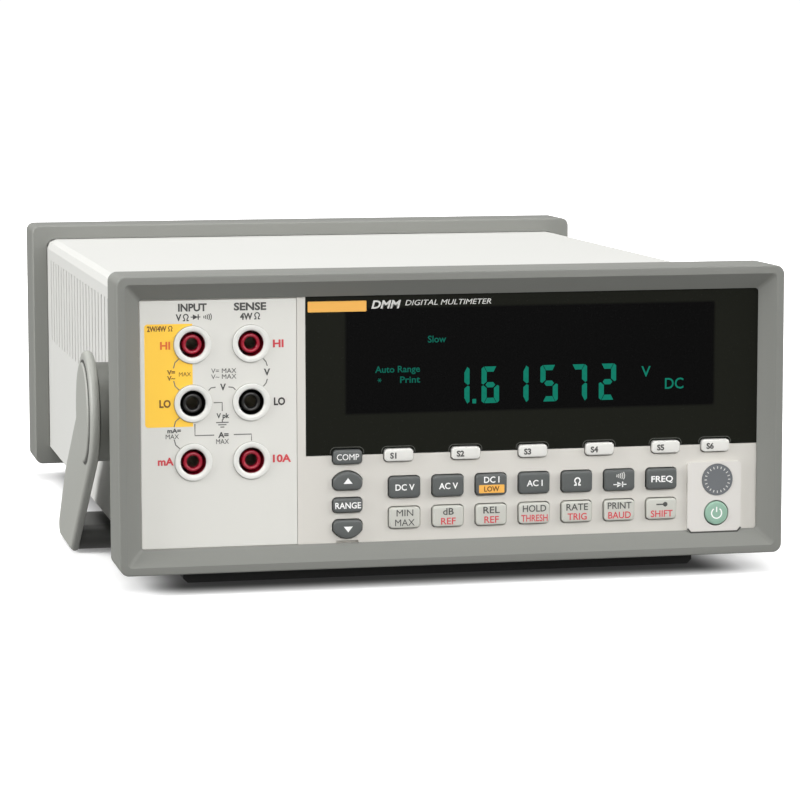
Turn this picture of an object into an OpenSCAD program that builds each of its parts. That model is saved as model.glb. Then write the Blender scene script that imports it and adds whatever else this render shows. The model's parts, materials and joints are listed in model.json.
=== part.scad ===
// Half-rack bench multimeter with a stowed carrying handle.
// Millimetres, +Z up. The front faces -Y, and the origin is the centre of the
// footprint on the surface that the feet stand on.

/* [Overall] */
// Depth over both bumpers
overall_d = 297; // [280:1:320]
// Width over the bumpers
bumper_w = 223; // [222:0.5:226]
// Height of the bumpers
bumper_h = 96.5; // [96:0.5:98]
// Height of the bumpers' underside above the surface
foot_h = 7; // [6.5:0.5:7.5]

/* [Case] */
// Width of the metal sleeve
case_w = 211; // [210.5:0.5:211.5]
// Height of the metal sleeve
case_h = 85.5; // [85:0.5:87]
// Wall of the sleeve
case_wall = 1.6; // [1.2:0.1:2]
// Spacing of the upright grooves in the sleeve's sides
groove_pitch = 9.3; // [7:0.1:14]
// Grooves in each side
groove_count = 25; // [10:1:25]

/* [Bumpers] */
// Depth of each bumper along the case
bumper_d = 24; // [20:1:28]
// Corner radius of the bumpers
bumper_r = 3; // [2.5:0.5:4]
// Flat rim around each opening
rim = 2.7; // [2:0.1:3.5]
// Width of the opening at the panel
opening_w = 207.8; // [206:0.2:208.4]
// Height of the opening at the panel
opening_h = 81; // [79:0.5:84]
// How far the front panel sits behind the rim
panel_recess = 5; // [4:0.5:6]

/* [Terminals] */
// Spacing of the 4 mm sockets, both ways
jack_pitch = 19.05; // [19:0.05:19.1]
// Bore radius of a socket's contact
socket_r = 2; // [1.98:0.01:2.05]
// Depth of a socket's bore behind its tube's mouth
socket_len = 22.4; // [18:0.2:24]
// Centre of the left column of sockets
jack_x = -86.65; // [-88:0.05:-85]
// Centre of the lowest row of sockets
jack_z = 42.85; // [40:0.05:46]

/* [Keys] */
// Width of a function key
key_w = 10.3; // [9:0.1:11.5]
// Height of a function key
key_h = 6.9; // [6.5:0.1:8]
// Spacing of the function keys
key_pitch = 14.62; // [14.5:0.02:14.8]
// Travel of a key
key_travel = 1; // [0.6:0.1:1.1]
// Gap around each key
key_gap = 0.35; // [0.25:0.05:0.45]

/* [Handle] */
// Distance of the handle's pivot behind the front rim
pivot_back = 45; // [44:0.5:50]
// Outer face to outer face of the handle's arms
handle_w = 236.4; // [236:0.1:242]
// Thickness of the handle's arms
arm_t = 4; // [3.5:0.1:4.2]
// Radius of the handle's hubs
hub_r = 20.5; // [18:0.5:21]

/* [Hidden] */
$fn = 64;
far = 400;
case_z = foot_h + (bumper_h - case_h) / 2;
mid_z = foot_h + bumper_h / 2;
lip = 0.6;
seat_w = case_w + 0.4;
seat_h = case_h + 0.4;
seat_r = 2.6;
opening_r = 1.2;
panel_front = panel_recess;
panel_t = 4;
panel_back = panel_front + panel_t;
rear_face = overall_d - panel_recess;
rear_panel_t = 2;
sleeve_end = rear_face - rear_panel_t;

// Upright grooves in the sleeve's sides
groove_first = 36;
groove_w = 2.4;
groove_d = 0.7;
groove_z0 = 58.5;
groove_z1 = 90.5;

panel_r = 3.4;
insert_x0 = -103.6;
insert_x1 = -52.7;
insert_z0 = 14.9;
insert_z1 = 95.3;
insert_t = 1;
insert_gap = 0.15;

lens_x0 = -49.6;
lens_x1 = 104.6;
lens_z0 = 43.7;
lens_z1 = 96.2;
lens_t = 2;
lens_gap = 0.15;
window_x = 26;
window_z = 74;
window_w = 132;
window_h = 40;

// Tube behind the window, with its pins along the lower edge
vfd_w = 138;
vfd_h = 42;
vfd_pins = 16;
vfd_pin_pitch = 8;
vfd_pin_r = 0.4;
vfd_pin_drop = 19;
vfd_pin_x = [for (i = [0:vfd_pins - 1]) window_x + (i - vfd_pins / 2 + 0.5) * vfd_pin_pitch];

board_front = 20;
board_t = 1.6;
board_x0 = -49;
board_x1 = 102;
board_margin = 0.6;
mat_t = 1.5;
mat_x0 = -44;
mat_x1 = 97;
mat_z0 = 15.5;
mat_z1 = 48;
stem_end = board_front - mat_t - key_travel - 0.2;
flange_y = panel_back + 0.2;

// Columns and rows of the function keys
col_x = -17.1;
row_hi = 32.6;
row_lo = 22.5;
key_r = 1.2;
// Soft keys along the lens's lower edge
soft_w = 9.6;
soft_h = 4.1;
soft_z = 43.25;
soft_x = [-18.95, 3.6, 26.35, 49.2, 72.05, 89.3];
// Left column
left_x = -36.1;
left_w = 9.55;
comp_z = 43.15;
up_z = 35.3;
range_z = 27.2;
down_z = 19.3;
slim_h = 4.6;
arrow_h = 6.05;
arch_r = 5.6;
arch_corner = 1.7;
// Narrow slot under the left column
slot_w = 7.4;
slot_h = 0.8;
slot_z = 14.7;
// Power switch and seal on their raised plate
plate_x = 89;
plate_z = 25.95;
plate_w = 18.6;
plate_h = 23.5;
plate_t = 1.1;
plate_gap = 0.2;
power_x = 89.7;
power_z = 20.45;
power_r = 3.95;
power_proud = 0.6;
seal_x = 90;
seal_z = 31.7;
seal_r = 5.3;
// How far the caps stand proud of the panel, and the flange behind it
dark_proud = 1.6;
light_proud = 1.4;
flange_t = 1.2;
flange_rim = 0.6;
stem_r = 1.5;

jack_cols = [jack_x, jack_x + jack_pitch];
jack_rows = [jack_z, jack_z + jack_pitch, jack_z + 2 * jack_pitch];
cup_r = 5.4;
well_r = 4.3;
well_end = 27;
cup_end = 31;
tube_r = 3.2;
tube_front = panel_front + 0.6;
contact_r = 2.6;
contact_front = 8;
ring_r = 6.1;

arm_in = handle_w / 2 - arm_t;
boss_r = 16.5;
boss_out = arm_in - 0.5;
pin_r = 5.95;
pin_bore_r = 6;
// The crossbar's section, and the arms' slope and upper edge above the line from the pivot
bar_front = 92;
bar_back = 130;
bar_z0 = 0.8;
bar_z1 = 9.3;
bar_r = 4.2;
arm_slope = 32;
arm_rise = 9.7;
arm_len = 66;
bar_turn = 50;
bend_r = 6;
hub_groove_r = 15.5;
hub_groove_w = 1.2;
hub_groove_d = 0.8;

front_foot_half = 87.6;
rear_foot_half = 15;
foot_chamfer = 1.5;

// Tray: its half width, front edge, folded sides and rear uprights
tray_half = 101;
tray_front = 42;
tray_side = 12;
tray_post = 8;
tray_top = 94;
floor_t = 1.2;
floor_z = case_z + case_wall + 0.1;
pcb_z = 22;
pcb_t = 1.6;
pcb_x0 = -96;
pcb_x1 = 34;
pcb_y0 = 45;
pcb_y1 = 265;
pcb_edge = 6;
pcb_top = pcb_z + pcb_t;
// Columns and rows of the main board's six supports
pcb_cols = [pcb_x0 + pcb_edge, pcb_x1 - pcb_edge];
pcb_rows = [pcb_y0 + pcb_edge, (pcb_y0 + pcb_y1) / 2, pcb_y1 - pcb_edge];
// Mains inlet: body, flange, socket and drawer
inlet_x = 66;
inlet_z = 58;
inlet_w = 27;
inlet_h = 31;
inlet_depth = 24;
inlet_flange = 2;
cavity_half = 12;
cavity_depth = 15;
drawer_z0 = -14;
drawer_z1 = -6;
drawer_depth = 22;
inlet_corner = 2.5;
blade_w = 2;
blade_h = 4;
grip_half = 9;
bay_half = 10.4;
bay_y = rear_face - 11.5;
fuse_r = 2.6;
fuse_len = 20;
// Serial port: flange and shell
serial_x = -20;
serial_z = 50;
port_w = 30.8;
port_h = 12.5;
port_shell = 4.6;
port_pin_pitch = 2.77;
port_pin_r = 0.5;
port_screw_x = 12.5;
ground_x = 24;
ground_z = 36;
ground_r = 2;
// Air slots in the rear panel
vent_x = -92;
vent_z = 74;
vent_pitch = 3.6;
vent_w = 1.8;
vent_h = 20;
vent_count = 18;
// Screws: rear panel, then the display board's posts
screw_x = 97;
screw_z = [20, 90];
post_x = [-46.3, 99];
post_z = [51, 93];
post_r = 2.2;
post_pin_r = 1.9;
post_pin = 1.8;
screw_shank = 1.5;
post_screw_r = 1.1;
board_screw_r = 1.5;

// ---------- helpers: x right, y back from the front rim, z up from the surface ----------

module place() translate([0, -overall_d / 2, 0]) children();

// Stands a flat outline, drawn in x and z, up and gives it depth from y0 to y1
module upright(y0, y1) translate([0, y1, 0]) rotate([90, 0, 0]) linear_extrude(y1 - y0) children();

// Gives an outline, drawn in y and z, a width from x0 to x1
module across(x0, x1) translate([x0, 0, 0]) rotate([90, 0, 90]) linear_extrude(x1 - x0) children();

module rounded(w, h, r) {
    square([w - 2 * r, h], center = true);
    square([w, h - 2 * r], center = true);
    for (x = [-1, 1], z = [-1, 1]) translate([x * (w / 2 - r), z * (h / 2 - r)]) circle(r);
}

module rounded_at(x, z, w, h, r) translate([x, z]) rounded(w, h, r);

module cyl_y(x, z, r, y0, y1) translate([x, y1, z]) rotate([90, 0, 0]) cylinder(r = r, h = y1 - y0);

module cyl_z(x, y, r, z0, z1) translate([x, y, z0]) cylinder(r = r, h = z1 - z0);

module block(x0, x1, y0, y1, z0, z1) translate([x0, y0, z0]) cube([x1 - x0, y1 - y0, z1 - z0]);

// ---------- case ----------

// The sleeve's section: two small facets along each upper edge, one along each lower edge
module case_section(inset) {
    w = case_w / 2 - inset;
    h = case_h / 2 - inset;
    cut = 1 - inset * 0.25;
    polygon([[w, -h + 1.5 * cut], [w - 1.5 * cut, -h], [-w + 1.5 * cut, -h], [-w, -h + 1.5 * cut],
             [-w, h - 3.5 * cut], [-w + 1 * cut, h - 1.1 * cut], [-w + 3.5 * cut, h],
             [w - 3.5 * cut, h], [w - 1 * cut, h - 1.1 * cut], [w, h - 3.5 * cut]]);
}

module case_sleeve() color("#ececE8") place() difference() {
    translate([0, 0, mid_z]) upright(panel_back, sleeve_end) difference() {
        case_section(0);
        case_section(case_wall);
    }
    for (side = [-1, 1], i = [0:groove_count - 1])
        translate([side * case_w / 2, groove_first + i * groove_pitch, (groove_z0 + groove_z1) / 2])
            cube([2 * groove_d, groove_w, groove_z1 - groove_z0], center = true);
}

// Floor with folded sides, and an upright at each rear corner for the rear panel's screws
module chassis_tray() color("#b8bab8") place() {
    back = sleeve_end - 0.1;
    block(-tray_half, tray_half, tray_front, back, floor_z, floor_z + floor_t);
    for (side = [0, 1]) mirror([side, 0, 0]) {
        block(tray_half - floor_t, tray_half, tray_front, back, floor_z, floor_z + tray_side);
        difference() {
            block(screw_x - tray_post / 2, tray_half, back - tray_post, back, floor_z, tray_top);
            for (z = screw_z)
                cyl_y(screw_x, z, screw_shank + 0.1, back - tray_post - 1, back + 1);
        }
    }
}

module bevel_cut(y_rim, y_lip) hull() {
    translate([0, 0, mid_z]) upright(y_rim, y_rim + 0.01)
        rounded(bumper_w - 2 * rim, bumper_h - 2 * rim, opening_r, $fn = 24);
    translate([0, 0, mid_z]) upright(y_lip - 0.005, y_lip + 0.005)
        rounded(opening_w, opening_h, opening_r, $fn = 24);
}

// One bumper, with its rim at y = 0
module bumper() difference() {
    translate([0, 0, mid_z]) upright(0, bumper_d) rounded(bumper_w, bumper_h, bumper_r);
    bevel_cut(-0.01, panel_recess - lip);
    translate([0, 0, mid_z]) upright(panel_recess - lip - 0.1, panel_recess + 0.1)
        rounded(opening_w, opening_h, opening_r);
    translate([0, 0, mid_z]) upright(panel_recess, bumper_d + 1) rounded(seat_w, seat_h, seat_r);
}

// The power switch's plate laps over the lower lip, so the lip is notched for it
module front_bumper() color("#82837d") place() difference() {
    bumper();
    block(plate_x - plate_w / 2 - plate_gap, plate_x + plate_w / 2 + plate_gap,
          panel_front - plate_t - plate_gap, panel_front + 0.1, plate_z - plate_h / 2 - plate_gap, plate_z);
}

module rear_bumper() color("#82837d") place() translate([0, overall_d, 0]) mirror([0, 1, 0]) bumper();

// ---------- front panel ----------

module key_outline(w, h, g) rounded(w + 2 * g, h + 2 * g, key_r + g);

// Half-moon key: flat on one side, arched on the other
module arch_outline(w, h, g, flip) mirror([0, flip ? 1 : 0]) intersection() {
    translate([0, h / 2 - arch_r]) circle(arch_r + g);
    rounded(w + 2 * g, h + 2 * g, arch_corner + g);
}

module soft_outlines(g) for (x = soft_x) translate([x, soft_z]) key_outline(soft_w, soft_h, g);

module comp_outline(g) translate([left_x, comp_z]) key_outline(left_w, slim_h, g);

module lens_outline(g) difference() {
    translate([lens_x0 - g, lens_z0 - g])
        square([lens_x1 - lens_x0 + 2 * g, lens_z1 - lens_z0 + 2 * g]);
    soft_outlines(key_gap - g);
    comp_outline(key_gap - g);
}

module key_holes() {
    soft_outlines(key_gap);
    comp_outline(key_gap);
    translate([left_x, up_z]) arch_outline(left_w, arrow_h, key_gap, false);
    translate([left_x, range_z]) key_outline(left_w, slim_h, key_gap);
    translate([left_x, down_z]) arch_outline(left_w, arrow_h, key_gap, true);
    for (i = [0:6], z = [row_lo, row_hi])
        translate([col_x + i * key_pitch, z]) key_outline(key_w, key_h, key_gap);
    translate([power_x, power_z]) circle(power_r + key_gap);
}

// Moulding behind the whole front: key holes, display window, lens seat, terminal holes, posts' sockets
module front_panel() color("#dedbd4") place() {
    difference() {
        translate([0, 0, mid_z]) upright(panel_front, panel_back)
            rounded(case_w - 0.2, case_h - 0.2, panel_r);
        upright(panel_front - 1, panel_front + lens_t + lens_gap) lens_outline(lens_gap);
        upright(0, panel_back + 1) rounded_at(window_x, window_z, window_w, window_h, 2);
        upright(0, panel_back + 1) key_holes();
        upright(panel_front - 1, panel_front + insert_t + 0.05)
            translate([insert_x0 - insert_gap, insert_z0 - insert_gap])
                square([insert_x1 - insert_x0 + 2 * insert_gap, insert_z1 - insert_z0 + 2 * insert_gap]);
        for (x = jack_cols, z = jack_rows) cyl_y(x, z, cup_r + 0.1, 0, panel_back + 1);
        block(left_x - slot_w / 2, left_x + slot_w / 2, 0, panel_front + 1.5, slot_z, slot_z + slot_h);
        for (x = post_x, z = post_z)
            cyl_y(x, z, post_pin_r + 0.05, panel_back - post_pin - 0.1, panel_back + 1);
    }
}

module jack_panel() color("#dad9d4") place() difference() {
    upright(panel_front, panel_front + insert_t)
        translate([insert_x0, insert_z0]) square([insert_x1 - insert_x0, insert_z1 - insert_z0]);
    for (x = jack_cols, z = jack_rows) cyl_y(x, z, ring_r + 0.1, 0, panel_back);
}

module display_lens() color("#1c1d18") place() upright(panel_front, panel_front + lens_t) lens_outline(0);

module vfd_tube() color("#0d0d0d") place() {
    upright(panel_back + 1.5, board_front - 0.2) rounded_at(window_x, window_z, vfd_w, vfd_h, 1);
    for (x = vfd_pin_x) cyl_y(x, window_z - vfd_pin_drop, vfd_pin_r, board_front - 0.2, board_front + 3);
}

module display_board() color("#2f6b3c") place() difference() {
    block(board_x0, board_x1, board_front, board_front + board_t, case_z + case_wall + board_margin,
          case_z + case_h - case_wall - board_margin);
    for (x = vfd_pin_x)
        cyl_y(x, window_z - vfd_pin_drop, vfd_pin_r + 0.2, board_front - 1, board_front + board_t + 1);
    for (x = post_x, z = post_z)
        cyl_y(x, z, post_screw_r + 0.2, board_front - 1, board_front + board_t + 1);
}

module dome_mat() color("#c8c8c4") place()
    block(mat_x0, mat_x1, board_front - mat_t, board_front, mat_z0, mat_z1);

module power_plate() color("#e2e0da") place() difference() {
    upright(panel_front - plate_t, panel_front) rounded_at(plate_x, plate_z, plate_w, plate_h, 1.2);
    cyl_y(power_x, power_z, power_r + key_gap, 0, panel_back);
    cyl_y(seal_x, seal_z, seal_r + 0.1, 0, panel_front - plate_t + 0.5);
}

module calibration_seal() color("#6e7175") place()
    cyl_y(seal_x, seal_z, seal_r, panel_front - plate_t - 0.2, panel_front - plate_t + 0.5);

// ---------- terminals ----------

module jack_rings() color("#f2f1ee") place() for (x = jack_cols, z = jack_rows) difference() {
    cyl_y(x, z, ring_r, panel_front - 0.8, panel_front + insert_t + 0.05);
    cyl_y(x, z, cup_r + 0.1, 0, panel_back);
}

// Insulated cup with a centre tube, open to the front for a shrouded plug
module jack(x, z) {
    difference() {
        cyl_y(x, z, cup_r, panel_front - 0.5, cup_end);
        cyl_y(x, z, well_r, 0, well_end);
        cyl_y(x, z, contact_r + 0.05, 0, cup_end + 1);
    }
    difference() {
        cyl_y(x, z, tube_r, tube_front, well_end + 0.5);
        cyl_y(x, z, contact_r + 0.05, contact_front - 0.1, cup_end + 1);
        cyl_y(x, z, socket_r, 0, contact_front);
    }
}

module jack_input_hi() color("#b01c2e") place() jack(jack_cols[0], jack_rows[2]);
module jack_input_lo() color("#1b1b1b") place() jack(jack_cols[0], jack_rows[1]);
module jack_sense_hi() color("#b01c2e") place() jack(jack_cols[1], jack_rows[2]);
module jack_sense_lo() color("#1b1b1b") place() jack(jack_cols[1], jack_rows[1]);
module jack_ma() color("#b01c2e") place() jack(jack_cols[0], jack_rows[0]);
module jack_10a() color("#b01c2e") place() jack(jack_cols[1], jack_rows[0]);

module jack_contacts() color("#c9a44a") place() for (x = jack_cols, z = jack_rows) {
    difference() {
        cyl_y(x, z, contact_r, contact_front, cup_end + 1);
        cyl_y(x, z, socket_r, 0, tube_front + socket_len);
    }
    cyl_y(x, z, 1, cup_end + 1, cup_end + 6);
}

// ---------- keys ----------

// A cap that stands proud of the panel, a flange behind it, and a stem to the dome
module key_body(x, z, w, h, front) {
    upright(front, flange_y) children();
    upright(flange_y, flange_y + flange_t)
        rounded_at(x, z, w + 2 * flange_rim, h + 2 * flange_rim, flange_rim);
    cyl_y(x, z, stem_r, flange_y + flange_t, stem_end);
}

module plain_key(x, z, w, h, proud) place()
    key_body(x, z, w, h, panel_front - proud) translate([x, z]) key_outline(w, h, 0);

module arch_key(x, z, flip) place()
    key_body(x, z, left_w, arrow_h, panel_front - dark_proud)
        translate([x, z]) arch_outline(left_w, arrow_h, 0, flip);

module soft_key(i) color("#e8e7e2") plain_key(soft_x[i], soft_z, soft_w, soft_h, light_proud);
module dark_key(i) color("#5f6262")
    plain_key(col_x + i * key_pitch, row_hi, key_w, key_h, dark_proud);
module light_key(i) color("#c8c8c0")
    plain_key(col_x + i * key_pitch, row_lo, key_w, key_h, light_proud);

module key_comp() color("#5f6262") plain_key(left_x, comp_z, left_w, slim_h, dark_proud);
module key_range() color("#5f6262") plain_key(left_x, range_z, left_w, slim_h, dark_proud);
module key_up() color("#5f6262") arch_key(left_x, up_z, false);
module key_down() color("#5f6262") arch_key(left_x, down_z, true);

module power_button() color("#92b4a0") place() {
    cyl_y(power_x, power_z, power_r, panel_front - plate_t - power_proud, flange_y);
    cyl_y(power_x, power_z, power_r + 1, flange_y, flange_y + flange_t);
    cyl_y(power_x, power_z, stem_r, flange_y + flange_t, stem_end);
}

// ---------- handle and feet ----------

// A cylinder along x, from x0 to x1, on the handle's axis
module cyl_pivot(r, x0, x1) translate([x0, pivot_back, mid_z]) rotate([0, 90, 0])
    cylinder(r = r, h = x1 - x0);

module pivot_bosses() color("#8b8c86") place() for (side = [0, 1]) mirror([side, 0, 0]) difference() {
    cyl_pivot(boss_r, case_w / 2, boss_out);
    cyl_pivot(pin_bore_r, case_w / 2 + 1, boss_out + 1);
}

// The crossbar's section, in y and z
module bar_section() translate([(bar_front + bar_back) / 2, (bar_z0 + bar_z1) / 2])
    rounded(bar_back - bar_front, bar_z1 - bar_z0, bar_r);

// A point of an arm, in y and z: so far along it from the pivot, and so far above that line
function on_arm(along, above) = [pivot_back + along * cos(arm_slope) + above * sin(arm_slope),
                                 mid_z - along * sin(arm_slope) + above * cos(arm_slope)];

// Side view of an arm, in y and z: a round hub, a bar along the hub's lower tangent, and a foot over
// the crossbar
module arm_outline() intersection() {
    union() {
        bar_section();
        translate([pivot_back, mid_z]) rotate(-arm_slope) {
            circle(hub_r);
            translate([0, -hub_r]) square([arm_len, hub_r + arm_rise]);
        }
        polygon([on_arm(arm_len, arm_rise),
                 [bar_back - bar_r * (1 - cos(bar_turn)), bar_z1 - bar_r * (1 - sin(bar_turn))],
                 [bar_back - bar_r, bar_z0], [bar_front + bar_r, bar_z0], on_arm(arm_len, -hub_r)]);
    }
    translate([0, bar_z0]) square(far);
}

// A bail in one piece: two arms with pins that turn in the bosses, and the crossbar between them
module carry_handle() color("#a8a9a3") place() difference() {
    intersection() {
        union() {
            for (side = [0, 1]) mirror([side, 0, 0]) {
                across(arm_in, arm_in + arm_t) arm_outline();
                cyl_pivot(pin_r, case_w / 2 + 1.6, arm_in + 0.1);
            }
            across(-handle_w / 2, handle_w / 2) bar_section();
        }
        translate([0, 0, bar_z0 + far / 2]) upright(0, far) rounded(handle_w, far, bend_r);
    }
    for (side = [0, 1]) mirror([side, 0, 0]) difference() {
        cyl_pivot(hub_groove_r + hub_groove_w, handle_w / 2 - hub_groove_d, handle_w / 2 + 1);
        cyl_pivot(hub_groove_r, handle_w / 2 - hub_groove_d - 1, handle_w / 2 + 2);
    }
}

module foot_bar(half, y0, y1) upright(y0, y1)
    polygon([[-half, case_z], [half, case_z], [half, foot_chamfer], [half - foot_chamfer, 0],
             [-half + foot_chamfer, 0], [-half, foot_chamfer]]);

module front_foot() color("#222222") place() foot_bar(front_foot_half, bumper_d + 0.3, bumper_d + 12);

module rear_feet() color("#222222") place() for (x = [-72, 72]) translate([x, 0, 0])
    foot_bar(rear_foot_half, overall_d - 61, overall_d - 47);

// ---------- rear panel ----------

module inlet_hole(g) rounded_at(inlet_x, inlet_z, inlet_w + 2 * g, inlet_h + 2 * g, 1.5);

module rear_panel() color("#d8d7d2") place() difference() {
    translate([0, 0, mid_z]) upright(sleeve_end, rear_face) rounded(case_w - 0.2, case_h - 0.2, panel_r);
    upright(sleeve_end - 1, rear_face + 1) inlet_hole(0.2);
    upright(sleeve_end - 1, rear_face + 1) rounded_at(serial_x, serial_z, port_w - 10.8, port_h - 1.5, 1);
    cyl_y(ground_x, ground_z, ground_r + 0.1, sleeve_end - 1, rear_face + 1);
    for (x = [-screw_x, screw_x], z = screw_z)
        cyl_y(x, z, screw_shank + 0.2, sleeve_end - 1, rear_face + 1);
    for (i = [0:vent_count - 1]) upright(sleeve_end - 1, rear_face + 1)
        rounded_at(vent_x + i * vent_pitch, vent_z, vent_w, vent_h, vent_w / 2 - 0.05);
}

// Three-pin mains inlet with a drawer for its fuse below the socket
module mains_inlet() color("#202020") place() {
    wide = cavity_half;
    cut = cavity_half - 4;
    difference() {
        union() {
            upright(sleeve_end - inlet_depth, rear_face + inlet_flange) inlet_hole(0);
            upright(rear_face, rear_face + inlet_flange)
                rounded_at(inlet_x, inlet_z, inlet_w + 4, inlet_h + 5, inlet_corner);
        }
        upright(rear_face - cavity_depth, rear_face + inlet_flange + 1) translate([inlet_x, inlet_z])
            polygon([[-wide, -3], [wide, -3], [wide, 7], [cut, 12], [-cut, 12], [-wide, 7]]);
        block(inlet_x - wide, inlet_x + wide, rear_face - drawer_depth, rear_face + inlet_flange + 1,
              inlet_z + drawer_z0, inlet_z + drawer_z1);
    }
    for (p = [[-7, 2], [0, 6], [7, 2]])
        block(inlet_x + p[0] - blade_w / 2, inlet_x + p[0] + blade_w / 2,
              rear_face - cavity_depth - 0.5, rear_face - 2,
              inlet_z + p[1] - blade_h / 2, inlet_z + p[1] + blade_h / 2);
}

// The drawer's body with its grip, and a bay inside for the fuse
module fuse_drawer() color("#262626") place() difference() {
    gap = 0.4;
    union() {
        block(inlet_x - cavity_half + gap, inlet_x + cavity_half - gap, rear_face - drawer_depth + 1,
              rear_face + inlet_flange, inlet_z + drawer_z0 + gap, inlet_z + drawer_z1 - gap);
        block(inlet_x - grip_half, inlet_x + grip_half,
              rear_face + inlet_flange - 0.1, rear_face + inlet_flange + 1.4,
              inlet_z + drawer_z0 + 1.6, inlet_z + drawer_z1 - 1.6);
    }
    block(inlet_x - bay_half, inlet_x + bay_half, bay_y - 3.5, bay_y + 3.5,
          inlet_z + drawer_z0 + 1.2, inlet_z);
}

module mains_fuse() color("#d8d8d8") place()
    translate([inlet_x - fuse_len / 2, bay_y, inlet_z + drawer_z0 + 1.3 + fuse_r])
        rotate([0, 90, 0]) cylinder(r = fuse_r, h = fuse_len);

module d_outline(g) polygon([for (p = [[-8.4, 4.2], [8.4, 4.2], [7, -4.2], [-7, -4.2]])
    [serial_x + p[0] + sign(p[0]) * g, serial_z + p[1] + sign(p[1]) * g]]);

// A D-shaped shell with its pins and a nut at each end
module serial_port() color("#b9bbbb") place() {
    difference() {
        union() {
            upright(rear_face, rear_face + 0.8) rounded_at(serial_x, serial_z, port_w, port_h, 1.5);
            upright(rear_face - 10, rear_face + port_shell) d_outline(0.5);
        }
        upright(rear_face - 1, rear_face + port_shell + 1) d_outline(0);
    }
    for (row = [[5, 1.42], [4, -1.42]], i = [0:row[0] - 1])
        cyl_y(serial_x + (i - (row[0] - 1) / 2) * port_pin_pitch, serial_z + row[1], port_pin_r,
              rear_face - 1.2, rear_face + port_shell - 0.4);
    for (side = [-1, 1])
        translate([serial_x + side * port_screw_x, rear_face + port_shell - 0.2, serial_z]) rotate([90, 0, 0])
            cylinder(r = 2.6, h = port_shell - 1, $fn = 6);
}

module ground_screw() color("#b58f3e") place() {
    cyl_y(ground_x, ground_z, ground_r, sleeve_end - 8, rear_face);
    cyl_y(ground_x, ground_z, 2.5 * ground_r, rear_face, rear_face + 0.8);
    translate([ground_x, rear_face + 3.8, ground_z]) rotate([90, 0, 0])
        cylinder(r = 2 * ground_r, h = 3, $fn = 6);
}

// Pan-head screw with a cross slot: its shank runs forward from the face at y
module screw(x, z, y, shank, shank_r) {
    head = 2 * shank_r;
    arm = 0.6 * head;
    slot = 0.4;
    difference() {
        union() {
            cyl_y(x, z, shank_r, y - shank, y);
            cyl_y(x, z, head, y, y + 2);
        }
        block(x - arm, x + arm, y + 1, y + 3, z - slot, z + slot);
        block(x - slot, x + slot, y + 1, y + 3, z - arm, z + arm);
    }
}

module panel_screws() color("#9a9c9c") place() {
    for (x = [-screw_x, screw_x], z = screw_z) screw(x, z, rear_face, tray_post + 1, screw_shank);
    for (x = post_x, z = post_z) screw(x, z, board_front + board_t, 8, post_screw_r);
}

// ---------- inside ----------

// A row of equal boxes on the main board, along x
module board_parts(count, x, y, pitch, w, d, h) for (i = [0:count - 1])
    block(x + i * pitch, x + i * pitch + w, y, y + d, pcb_top, pcb_top + h);

// Heat sink: a web along y with fins across it
module heat_sink(x, y, w, d, h) {
    web = 4;
    fin = 2;
    fin_pitch = 5;
    block(x + (w - web) / 2, x + (w + web) / 2, y, y + d, pcb_top, pcb_top + h);
    for (i = [0:floor((d - fin) / fin_pitch)])
        block(x, x + w, y + i * fin_pitch, y + i * fin_pitch + fin, pcb_top, pcb_top + h);
}

// The populated board: relays by the terminals, then converter, capacitors and a heat sink
module main_board() color("#2f6b3c") place() {
    capacitors = 4;
    capacitor_r = 7;
    difference() {
        block(pcb_x0, pcb_x1, pcb_y0, pcb_y1, pcb_z, pcb_top);
        for (x = pcb_cols, y = pcb_rows) cyl_z(x, y, board_screw_r + 0.2, pcb_z - 1, pcb_top + 1);
    }
    board_parts(5, -88, 62, 14, 10, 20, 10);
    board_parts(3, -60, 150, 26, 16, 16, 3);
    for (i = [0:capacitors - 1]) cyl_z(-78 + i * 18, 235, capacitor_r, pcb_top, pcb_top + 26);
    heat_sink(8, 110, 18, 32, 30);
}

// Laminated core with its winding round the middle leg
module transformer() color("#7b6a55") place() {
    base = floor_z + floor_t;
    centre = [70, 226];
    core = [50, 20, 42];
    window = [10, 26];
    leg = 12;
    winding = [31.6, 36, 25.6];
    rise = (core[2] - window[1]) / 2;
    difference() {
        block(centre[0] - core[0] / 2, centre[0] + core[0] / 2,
              centre[1] - core[1] / 2, centre[1] + core[1] / 2, base, base + core[2]);
        for (side = [0, 1]) translate([centre[0], 0, 0]) mirror([side, 0, 0])
            block(leg / 2, leg / 2 + window[0], centre[1] - core[1], centre[1] + core[1],
                  base + rise, base + rise + window[1]);
    }
    block(centre[0] - winding[0] / 2, centre[0] + winding[0] / 2,
          centre[1] - winding[1] / 2, centre[1] + winding[1] / 2,
          base + rise + 0.2, base + rise + 0.2 + winding[2]);
}

// Two cartridge fuses in their clips
module current_fuses() color("#dcd6c4") place() for (i = [0, 1]) {
    x = -82 + i * 40;
    clip = [32, 12, 3];
    cartridge_r = 4;
    block(x, x + clip[0], 96, 96 + clip[1], pcb_top, pcb_top + clip[2]);
    translate([x + 1, 96 + clip[1] / 2, pcb_top + clip[2] + cartridge_r - 0.5]) rotate([0, 90, 0])
        cylinder(r = cartridge_r, h = clip[0] - 2);
}

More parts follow.
